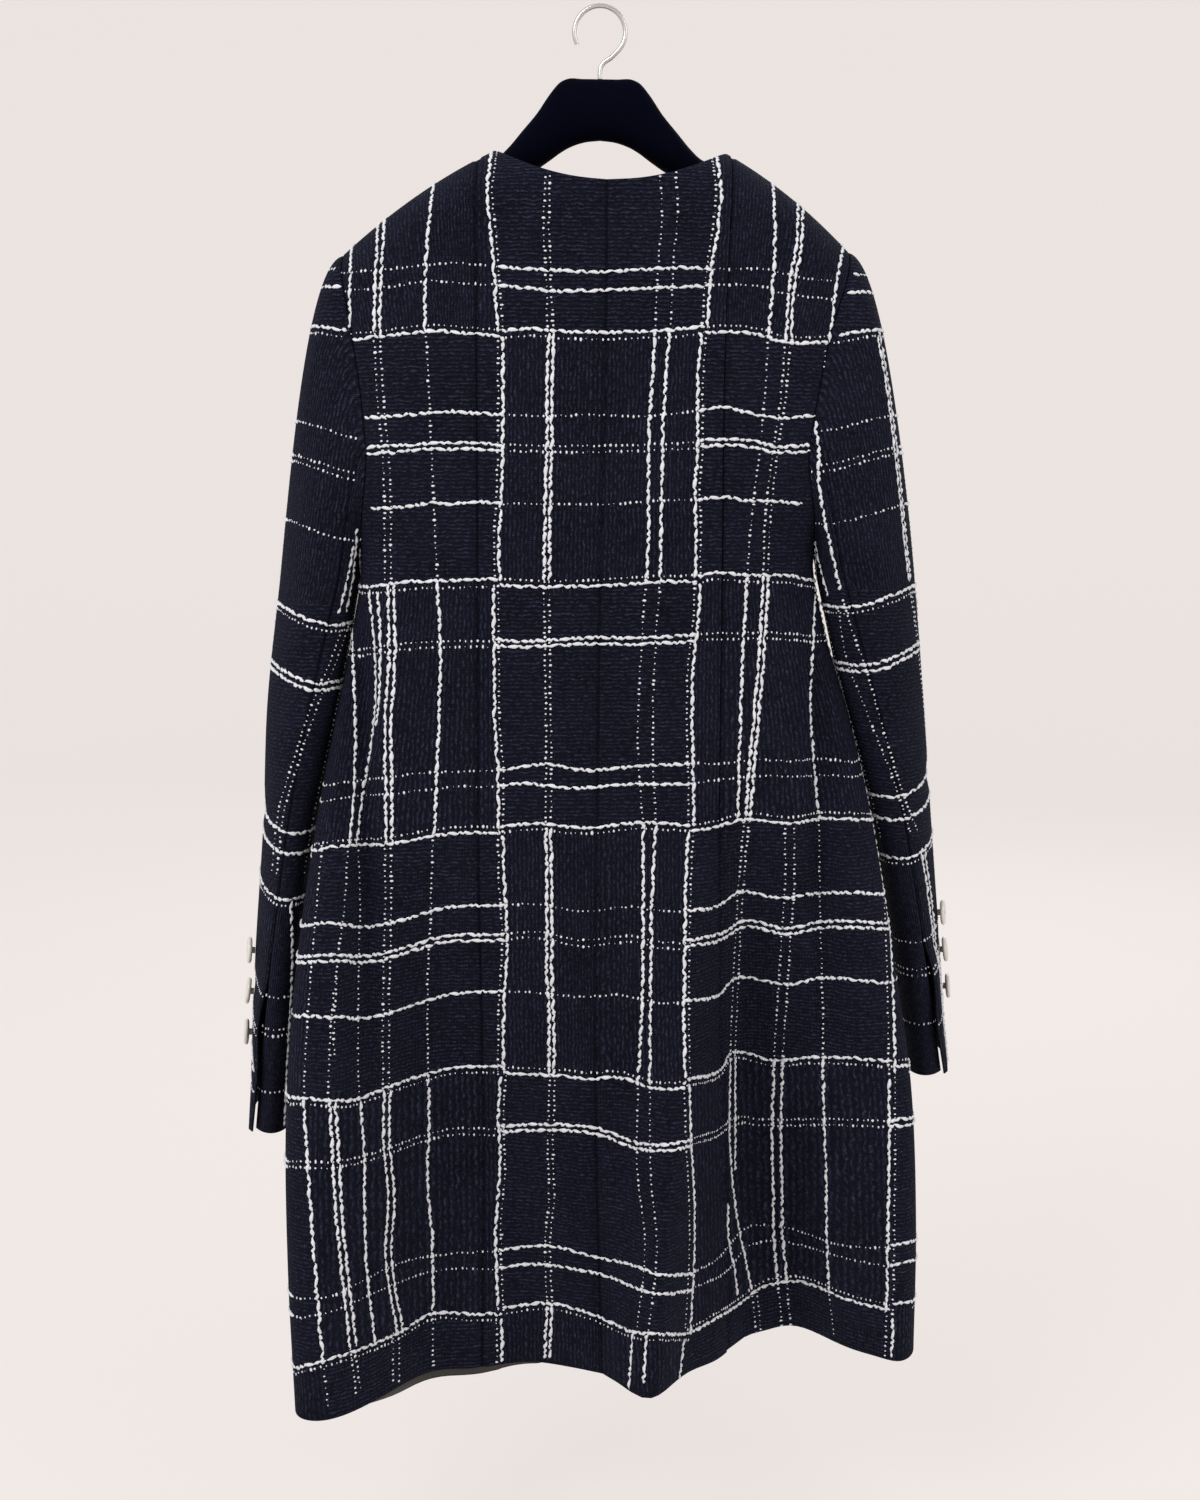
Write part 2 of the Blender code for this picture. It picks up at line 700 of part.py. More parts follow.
def open_vent(side, points, normals):
    """Lifts the upper sleeve's rear edge off the under sleeve near the cuff, and laps it over."""
    drop = -points[:, 0, 2]
    below = drop - (SLEEVES[side][-1][0] - VENT_HEIGHT)
    lift = VENT_LIFT * smooth_step(below / VENT_LIFT_RUN)
    lap = VENT_LAP * smooth_step((below - VENT_LAP_BELOW) / VENT_LIFT_RUN)
    moved = points.copy()
    outward = points[:, 0] - points[:, 1]
    outward /= np.linalg.norm(outward, axis=-1, keepdims=True)
    moved[:, 0] += lap[:, None] * outward
    for index, share in enumerate(VENT_LIFT_SHARES):
        moved[:, index] += share * lift[:, None] * normals[:, index]
    return moved


def sleeves(side, cloth, armhole_ways):
    placed = {}
    for upper in (True, False):
        shares = sleeve_shares(upper)
        points, ways_in = sleeve_grid(side, shares)
        for index, share in enumerate(shares):
            ways_in[0, index] = armhole_ways[-1 if abs(share) == 1 else share]
        if upper:
            points = open_vent(side, points, ways_in)
        name = ("sleeve_upper_" if upper else "sleeve_under_") + side
        shell(name, points, ways_in, ("first", "last", "top"), cloth)
        placed[name] = points
    return placed["sleeve_upper_" + side]


def buttons(side, points, finish):
    """Turned buttons on the upper sleeve, each square to the cloth under it."""
    cuff = SLEEVES[side][-1][0]
    drops = -points[:, BUTTON_COLUMN, 2]
    for number in range(BUTTON_COUNT):
        drop = cuff - BUTTON_ABOVE_CUFF - BUTTON_SPACING * (BUTTON_COUNT - 1 - number)
        row = int(np.searchsorted(drops, drop)) - 1
        share = (drop - drops[row]) / (drops[row + 1] - drops[row])
        here, below = points[row, BUTTON_COLUMN], points[row + 1, BUTTON_COLUMN]
        across = points[row, BUTTON_COLUMN + 1] - points[row, BUTTON_COLUMN - 1]
        out = np.cross(across, below - here)
        middle = np.array([table_value(SLEEVES[side], SLEEVE_COLUMNS, name, drop) for name in "xy"])
        out *= np.sign(((here[:2] - middle) * out[:2]).sum()) / np.linalg.norm(out)
        seat = here + share * (below - here) + SEAM_GAP * out
        thing = turned(f"button_{side}_{number + 1}", BUTTON_PROFILE, BUTTON_STEPS, finish)
        thing.location = seat * METRES
        thing.rotation_mode = "QUATERNION"
        thing.rotation_quaternion = Vector(out).to_track_quat("Z", "Y")


def turned(name, profile, steps, finish):
    """A solid of revolution about Z, from a profile that starts and ends on the axis."""
    mesh = bpy.data.meshes.new(name)
    vertices = [(radius * METRES, 0, height * METRES) for radius, height in profile]
    mesh.from_pydata(vertices, [(index, index + 1) for index in range(len(vertices) - 1)], [])
    thing = bpy.data.objects.new(name, mesh)
    screw = thing.modifiers.new("turn", "SCREW")
    screw.steps = steps
    screw.render_steps = steps
    screw.use_merge_vertices = True
    screw.merge_threshold = 0.00001
    screw.use_normal_calculate = True
    mesh.materials.append(finish)
    bpy.data.collections[COLLECTION].objects.link(thing)
    return thing


def lining(finish, centre, outer):
    """The strip of lining below the back hem: the panels' last rows, moved inside their wall."""
    grids = []
    for part in (0, 1):
        middle, side = centre[part][-2:], outer[part][-2:]
        grids.append(np.concatenate([side[:, :0:-1], middle[:, ::-1]], axis=1))
    points, ways_in = grids
    shown = (points[1, :, 0] > LINING_FROM_X) & (points[1, :, 0] < LINING_TO_X)
    points, ways_in = points[:, shown], ways_in[:, shown]
    points = points - (WALL + LINING_CLEARANCE) * ways_in
    down = points[1] - points[0]
    across = np.linspace(0, 1, points.shape[1])[:, None]
    shows = LINING_SHOWS_LEFT + (LINING_SHOWS_RIGHT - LINING_SHOWS_LEFT) * across
    shows *= LINING_END_SHARE + (1 - LINING_END_SHARE) * smooth_step(across / LINING_RISE)
    below = points[1] + down / np.linalg.norm(down, axis=1, keepdims=True) * shows
    strip = np.stack([points[1] - down * LINING_TUCK, points[1], below])
    ways = np.stack([ways_in[1], ways_in[1], ways_in[1]])
    shell("lining_hem", strip, ways, (), finish, LINING_WALL)


def hanger_value(name, out):
    rows = [dict(zip(HANGER_COLUMNS, row)) for row in HANGER]
    outs = np.array([row["out"] for row in rows], float)
    return curve_through(outs, np.array([row[name] for row in rows], float), out)


def hanger(finish):
    """A loft of rounded sections along the shoulders, its top just under the cloth."""
    half = []
    for row, following in zip(HANGER, HANGER[1:]):
        half += list(np.linspace(row[0], following[0], row[4] + 1)[1:])
    rings = []
    for x in [-out for out in reversed(half)] + [0.0] + half:
        out = abs(x)
        step = 1.0
        slope = float(ridge_drop(x + step) - ridge_drop(x - step)) / (2 * step)
        under_cloth = float(ridge_drop(x)) + (WALL + HANGER_CLEARANCE) * math.hypot(1, slope)
        top = float(hanger_value("top", out))
        if from_neck(x) >= -HANGER_TUCK:
            top = max(top, under_cloth)
        bottom = float(hanger_value("bottom", out))
        past = max(out - (HANGER_REACH - HANGER_END_ROUND), 0) / (HANGER_END_ROUND + 1)
        shrink = math.sqrt(1 - past**2)
        half_depth = float(hanger_value("half_depth", out)) * shrink
        half_height = (bottom - top) / 2 * shrink
        middle = top + (bottom - top) / 2
        middle -= (bottom - top) / 2 * (1 - shrink) * HANGER_END_LIFT
        ring = []
        for index in range(HANGER_SIDE_COUNT):
            angle = 2 * math.pi * index / HANGER_SIDE_COUNT
            power = 2 / HANGER_SQUARENESS
            y = float(ridge_y(x)) + half_depth * float(signed_power(math.cos(angle), power))
            z = -middle + half_height * float(signed_power(math.sin(angle), power))
            ring.append((x * METRES, y * METRES, z * METRES))
        rings.append(ring)
    vertices = [vertex for ring in rings for vertex in ring]
    sides = HANGER_SIDE_COUNT
    faces = []
    for station in range(len(rings) - 1):
        for index in range(sides):
            following = (index + 1) % sides
            low, high = station * sides, (station + 1) * sides
            faces.append([low + index, low + following, high + following, high + index])
    faces.append(list(range(sides))[::-1])
    faces.append(list(range((len(rings) - 1) * sides, len(rings) * sides)))
    mesh_object("hanger", vertices, faces, finish)


def hook(finish):
    """A wire from the hanger's top, round over the rail."""
    middle = -HOOK_INNER_RADIUS
    radius = HOOK_INNER_RADIUS + HOOK_WIRE_RADIUS
    turns = np.radians(np.linspace(HOOK_END_DEGREES, HOOK_START_DEGREES, HOOK_ARC_POINTS))
    route = [(radius * math.cos(turn), middle + radius * math.sin(turn)) for turn in turns]
    route += list(HOOK_SHANK)
    curve = bpy.data.curves.new("hook", "CURVE")
    curve.dimensions = "3D"
    curve.bevel_depth = HOOK_WIRE_RADIUS * METRES
    curve.bevel_resolution = 2
    curve.use_fill_caps = True
    spline = curve.splines.new("POLY")
    spline.points.add(len(route) - 1)
    for point, (x, z) in zip(spline.points, route):
        point.co = (x * METRES, 0, z * METRES, 1)
    curve.materials.append(finish)
    thing = bpy.data.objects.new("hook", curve)
    bpy.data.collections[COLLECTION].objects.link(thing)


def main():
    for thing in list(bpy.data.objects):
        bpy.data.objects.remove(thing)
    collection = bpy.data.collections.new(COLLECTION)
    bpy.context.scene.collection.children.link(collection)
    cloth = finish_of("tweed")
    pearl = finish_of("button")
    satin = finish_of("lining")
    black = finish_of("hanger")
    steel = finish_of("hook")
    for side in ("left", "right"):
        armhole_ways, centre, outer = body_panels(side, cloth)
        upper = sleeves(side, cloth, armhole_ways)
        buttons(side, upper, pearl)
        if side == "left":
            lining(satin, centre, outer)
    hanger(black)
    hook(steel)


main()
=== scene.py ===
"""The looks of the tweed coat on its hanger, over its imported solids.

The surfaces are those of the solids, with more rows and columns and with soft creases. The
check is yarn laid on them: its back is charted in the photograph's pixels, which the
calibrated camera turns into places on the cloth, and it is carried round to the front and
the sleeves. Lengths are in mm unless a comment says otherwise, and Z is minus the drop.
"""

import math

import bpy
import numpy as np
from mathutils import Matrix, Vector
from mathutils.bvhtree import BVHTree


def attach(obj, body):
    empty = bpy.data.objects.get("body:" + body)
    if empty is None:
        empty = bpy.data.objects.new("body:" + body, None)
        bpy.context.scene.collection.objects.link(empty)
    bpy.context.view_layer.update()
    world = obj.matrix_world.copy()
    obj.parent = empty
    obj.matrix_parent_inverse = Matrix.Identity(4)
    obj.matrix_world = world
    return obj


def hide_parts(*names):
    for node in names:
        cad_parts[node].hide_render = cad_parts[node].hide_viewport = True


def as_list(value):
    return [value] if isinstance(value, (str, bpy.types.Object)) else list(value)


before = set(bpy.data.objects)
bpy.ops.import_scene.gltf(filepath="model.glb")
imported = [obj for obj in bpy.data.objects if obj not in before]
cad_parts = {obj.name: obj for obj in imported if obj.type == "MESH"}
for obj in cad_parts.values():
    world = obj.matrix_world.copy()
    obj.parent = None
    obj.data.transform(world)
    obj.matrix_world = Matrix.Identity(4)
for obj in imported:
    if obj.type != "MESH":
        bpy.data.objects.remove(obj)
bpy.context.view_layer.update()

METRES = 0.001
SEED = 7

# Rows and columns of the cloth here for each one of the solids'
FINER = 4

# The two sides of the coat in the photograph, and which way along X each one lies
SIDES = {"left": -1, "right": 1}

# How the surfaces are worked out: rounds until a row settles, the step for a slope, the
# longest mitre
SETTLE_ROUNDS = 12
SLOPE_STEP = 1e-3
MITRE_LIMIT = 0.75

# How much a point's X and Y say about which way is outwards from the body's middle
OUTWARD_WEIGHTS = (0.4, 1.0, 0.0)

# Cloth
WALL = 2.5
SEAM_GAP = 0.3

# Body, as drops below the hook
NECK_DROP = 100.0
NECK_CENTRE = 8.0
NECK_HALF = 84.0
BACK_NECK_DEPTH = 25.0
FRONT_NECK_DEPTH = 95.0
BACK_NECK_SQUARENESS = 2.2
FRONT_NECK_SQUARENESS = 2.6
FRONT_NECK_ROUND = 0.55
UNDERARM_DROP = 388.0
HEM_DROP = 1003.0
SQUARENESS = 2.6

# Shoulders: the ridge falls from each neck point to the shoulder point
SHOULDER_LENGTH = 110.0
LEFT_SHOULDER_X = -188.0
RIGHT_SHOULDER_X = 185.0
RIDGE_SLOPE = 0.46
RIDGE_ROUND = 0.0018
RIGHT_FALL = 0.93
RIDGE_TURN = 0.08
RIDGE_BOW = 0.0007
RIDGE_RISE = 12.0
ROLL_HEIGHT = 34.0
ROLL_LENGTH = 60.0

# Plan of the hanging cloth at each drop: the X of its two edges, the depth of its back and
# front from the middle plane, how far that plane turns (Y for each mm of X) and how far its
# edges swing to the back.
SWING_POWER = 3
RING_COLUMNS = ("drop", "left", "right", "back", "front", "turn", "swing")
RINGS = (
    (90, -206, 206, 42, 50, 0.06, -24),
    (160, -206, 204, 50, 60, 0.06, -22),
    (250, -205, 198, 60, 68, 0.07, -14),
    (330, -196, 186, 66, 70, 0.08, -4),
    (388, -175.5, 160, 68, 72, 0.09, 0),
    (440, -181, 167, 68, 74, 0.10, 4),
    (510, -194, 187.5, 68, 76, 0.11, 10),
    (590, -208, 206, 68, 76, 0.12, 20),
    (680, -220, 221, 68, 74, 0.14, 32),
    (790, -228, 238, 68, 72, 0.16, 42),
    (900, -227, 244, 68, 70, 0.18, 50),
    (1005, -222, 244, 68, 70, 0.20, 55),
)

# Folds: the X of each axis at the top and at the hem, the drops where it begins, is full,
# starts to fade and is gone, how far it moves the back and the front (minus is outwards on
# the back), and its half width.
FOLD_COLUMNS = ("top_x", "hem_x", "begins", "full", "fades", "gone", "back", "front", "width")
FOLD_TOP = 500.0
FOLD_BLEND = 0.4
FOLDS = {
    "left lobe": (-190, -200, 430, 760, 1400, 1500, -22, -6, 36),
    "left flank": (-118, -128, 540, 880, 1400, 1500, 30, 0, 32),
    "left valley": (-104, -62, 520, 900, 1400, 1500, 35, 0, 50),
    "centre ridge": (82, 36, 520, 930, 1400, 1500, -46, 0, 24),
    "ridge flank": (97, 112, 480, 860, 1400, 1500, 20, 0, 18),
    "right valley": (102, 150, 450, 920, 1400, 1500, 63, 0, 39),
    "right lobe": (226, 230, 700, 980, 1400, 1500, -12, 0, 16),
    "left groove": (-170, -170, 400, 520, 640, 900, 20, 6, 11),
    "right groove": (158, 190, 400, 520, 640, 860, 18, 6, 11),
    "front left ridge": (-120, -140, 520, 950, 1400, 1500, 0, 22, 34),
    "front left valley": (-60, -64, 560, 950, 1400, 1500, 0, -20, 28),
    "front right ridge": (110, 128, 520, 950, 1400, 1500, 0, 24, 36),
    "front right valley": (62, 66, 560, 950, 1400, 1500, 0, -18, 26),
}

# Seams of the back, as their X at each drop
SEAM_COLUMNS = ("drop", "centre", "left_princess", "right_princess")
SEAMS = (
    (90, 5, -88, 96),
    (250, 4, -87, 89),
    (412, 0, -87, 88),
    (600, -2, -88, 88),
    (800, -3, -88, 92),
    (1005, 1, -89, 99),
)

# Armholes, as the X of their edge at each drop, on the back and on the front
ARMHOLE_COLUMNS = ("drop", "back_left", "front_left", "back_right", "front_right")
ARMHOLES = (
    (150, -190, -190, 187, 187),
    (176, -188, -188, 184, 184),
    (237, -177, -170, 166, 162),
    (277, -171, -163, 158, 154),
    (328, -166, -160, 150, 148),
    (388, -160, -156, 146, 144),
)
ARMHOLE_TURN_DROP = 310.0
CENTRE_COLUMN_COUNT = 7
NECK_CROWDING = 1.7
SIDE_COLUMN_COUNT = 11

# Rows of every body panel: shares of the way from its top edge to the underarm, then from
# there to the hem
UPPER_ROWS = (0, 0.03, 0.07, 0.12, 0.18, 0.26, 0.36, 0.48, 0.60, 0.71, 0.81, 0.89, 0.95, 0.985, 1)
LOWER_ROW_COUNT = 14

# Sleeves: the middle of each section, its half width and half depth, and how far its threads
# have turned about the arm, in degrees
SLEEVE_COLUMNS = ("drop", "x", "y", "half_x", "half_y", "turn")
SLEEVE_SKEW = 0.14
SLEEVES = {
    "left": (
        (410, -209, 2, 30, 58, 0),
        (500, -222, -3, 27.5, 57, 17),
        (590, -233, -7, 21, 55, 33),
        (690, -243, -12, 18.5, 53, 48),
        (815, -251, -15, 17, 50, 72),
    ),
    "right": (
        (410, 201, 22, 37, 55, 0),
        (500, 217, 34, 31.5, 55, 17),
        (590, 234, 50, 24.5, 54, 33),
        (690, 250, 70, 20.5, 52, 48),
        (803, 265, 90, 18, 50, 72),
    ),
}
ARMHOLE_STEPS = 41
SLEEVE_ROW_COUNT = 12
CAP_ROW_COUNT = 8
CAP_CROWDING = 1.3
CAP_REACH = 85.0
CAP_SLOPE = 0.2
CAP_FALL = 150.0
UNDERARM_SPREAD = 0.25
UNDERARM_REACH = 20.0
REAR_SEAM_ROW = 9
FRONT_SEAM_ROW = 10

# Vents at the cuffs: the upper sleeve's edge lifts off and then laps over the under sleeve
VENT_HEIGHT = 130.0
VENT_LIFT = 6.5
VENT_LIFT_RUN = 60.0
VENT_LIFT_SHARES = (1.0, 0.45, 0.12)
VENT_LAP = 11.0
VENT_LAP_BELOW = 35.0
VENT_LAP_SHARE = 0.75

# Cuff buttons, each on the upper sleeve beside the vent: the column of it that they sit on
BUTTON_COUNT = 3
BUTTON_SPACING = 33.0
BUTTON_ABOVE_CUFF = 62.0
BUTTON_COLUMN = 3

# Lining below the back hem
LINING_WALL = 1.0
LINING_FROM_X = -174.0
LINING_TO_X = -46.0
LINING_SHOWS_LEFT = 8.5
LINING_SHOWS_RIGHT = 2.5
LINING_END_SHARE = 0.1
LINING_RISE = 0.2
LINING_TUCK = 0.7
LINING_CLEARANCE = 0.6

# Hanger: half its outline at each distance from its centre, and how many more sections there
# are before the next one
HANGER_REACH = 174.0
HANGER_SIDES = 48
HANGER_FINER = 3
HANGER_CAP = 0.02
HANGER_COLUMNS = ("out", "top", "bottom", "half_depth", "splits")
HANGER = (
    (0, 49.3, 92, 13, 1),
    (12, 49.3, 93.5, 13, 1),
    (24, 49.5, 98, 13.5, 1),
    (29, 52, 101, 14, 1),
    (36, 60, 106, 14.5, 1),
    (45, 73, 112, 15.5, 1),
    (56, 86, 118, 17, 1),
    (66, 97.5, 124, 15.5, 1),
    (74, 104.4, 130, 15, 3),
    (90, 104, 142, 14.5, 4),
    (130, 104, 168, 20, 6),
    (174, 104, 204, 22, 0),
)
HANGER_SQUARENESS = 2.3
HANGER_END_ROUND = 14.0
HANGER_END_LIFT = 0.6
HANGER_TUCK = 3.0
HANGER_CLEARANCE = 0.9

# Hook
HOOK_INNER_RADIUS = 16.5
HOOK_WIRE_RADIUS = 1.8
HOOK_START_DEGREES = -48.0
HOOK_END_DEGREES = 206.0
HOOK_ARC_POINTS = 66
HOOK_SHANK = ((7.5, -34.6), (2.6, -37.6), (0.5, -41.0), (0, -45), (0, -49.0))
HOOK_ROUNDNESS = 6

# Camera, as calibrated on the hanger, the hem and the cuff buttons
CAMERA_PLACE = (0.0, -1500.0, -328.0)
CAMERA_TILT = math.radians(7.938)
FOCAL_PIXELS = 2007.96
IMAGE_SIZE = (1200, 1500)
SENSOR = 36.0
CLIP_END = 20.0

# Soft creases of the body: X and drop of their two ends, how far in, half width, and the
# face of the body they are on
CREASE_COLUMNS = ("across0", "drop0", "across1", "drop1", "depth", "width", "face")
CREASES = (
    (-150, 330, -112, 455, 2.6, 9, "back"),
    (-158, 380, -128, 520, 2.2, 8, "back"),
    (140, 330, 108, 450, 2.8, 9, "back"),
    (146, 372, 122, 540, 2.4, 9, "back"),
    (-60, 150, -100, 215, 1.6, 12, "back"),
    (70, 150, 112, 220, 1.6, 12, "back"),
    (-40, 420, -20, 640, 1.6, 14, "back"),
    (30, 560, 44, 800, 1.8, 13, "back"),
    (-140, 620, -132, 900, 2.2, 14, "back"),
    (-30, 760, -44, 985, 2.4, 13, "back"),
    (150, 640, 176, 940, 2.4, 14, "back"),
    (-150, 330, -118, 470, 2.4, 9, "front"),
    (140, 335, 112, 462, 2.4, 9, "front"),
    (-52, 170, -92, 250, 1.8, 12, "front"),
    (62, 172, 104, 262, 1.8, 12, "front"),
    (-90, 560, -104, 900, 2.0, 15, "front"),
    (84, 580, 98, 930, 2.2, 15, "front"),
    (-22, 500, -30, 860, 1.6, 14, "front"),
)

# Creases round a sleeve, alike: across is the bearing, 0 behind and 90 outside
SLEEVE_CREASE_COLUMNS = CREASE_COLUMNS[:-1]
SLEEVE_CREASES = {
    "left": (
        (-30, 452, 60, 492, 2.4, 9),
        (-50, 508, 40, 540, 2.2, 8),
        (50, 588, 160, 560, 2.0, 8),
        (-30, 628, 60, 640, 1.8, 8),
        (130, 470, 230, 510, 2.0, 9),
        (150, 640, 240, 672, 1.6, 8),
        (20, 700, 110, 716, 1.4, 8),
    ),
    "right": (
        (-25, 446, 70, 484, 2.4, 9),
        (-50, 500, 50, 528, 2.4, 8),
        (40, 572, 150, 548, 2.0, 8),
        (-30, 612, 60, 632, 2.0, 8),
        (120, 462, 220, 498, 2.0, 9),
        (140, 628, 230, 656, 1.6, 8),
        (10, 690, 100, 704, 1.4, 8),
    ),
}
CREASE_START_DROP = 425.0
CREASE_START_RUN = 30.0
CREASE_FADE = 0.8

# Seams: how far their edges sink in and stand apart
SEAM_SINK = 1.5
SEAM_OPEN = 0.04

LEAST_AREA_SHARE = 0.31

# Their length sways, and each has its own size and slant. The yarn swells and rises over each
# lump, and wanders aside
YARN_STEP = 1.35
YARN_RADIUS = 1.22
YARN_SIDES = 6
YARN_FLATNESS = 0.72
YARN_END = 0.35
YARN_LUMP = 5.8
YARN_LUMP_SWAY = (0.22, 2.3)
YARN_LUMP_SIZES = (0.78, 1.25)
YARN_LUMP_SLANTS = (1.0, 1.0, 1.0, -0.6, 0.2)
YARN_LUMP_POWER = 1.1
YARN_THINNEST = 0.3
YARN_SWELL = 0.86
YARN_UNEVENNESS = (0.88, 1.12)
YARN_WANDER = 0.27
YARN_WANDER_STEPS = 3
YARN_SLANT = 1.7
YARN_RISE = 0.62
YARN_SINK = 0.32

# A dotted yarn is a row of stitches, each a dome over two rings of corners. A ring has its
# share of the dome's size and its height. The size has a mean and a spread, and the lengths
# and widths are shares of it
DOT_PITCH = 3.9
DOT_RADIUS = 0.95
DOT_SIDES = 5
DOT_RINGS = ((1.0, -0.25), (0.8, 0.4))
DOT_TOP = 0.65
DOT_BOTTOM = 0.3
DOT_SIZE = (0.9, 0.28)
DOT_SIZE_LIMITS = (0.3, 1.45)
DOT_LONG = (0.6, 0.95)
DOT_WIDE = (0.8, 1.35)
DOT_ASIDE = 0.45
DOT_ALONG = 0.7

# The two pieces of a bundle, by how many sides their faces have
BUNDLE_PIECES = {4: "yarn", 3: "stitches"}

# Lines on the cloth: the gap between a main line and its dotted one, the fewest points that
# make a run, the step along a charted line in pixels, and the jump that ends a run of it
LINE_GAP = 4.6
RUN_LEAST = 4
CHART_STEP = 2.0
CHART_JUMP = 14.0

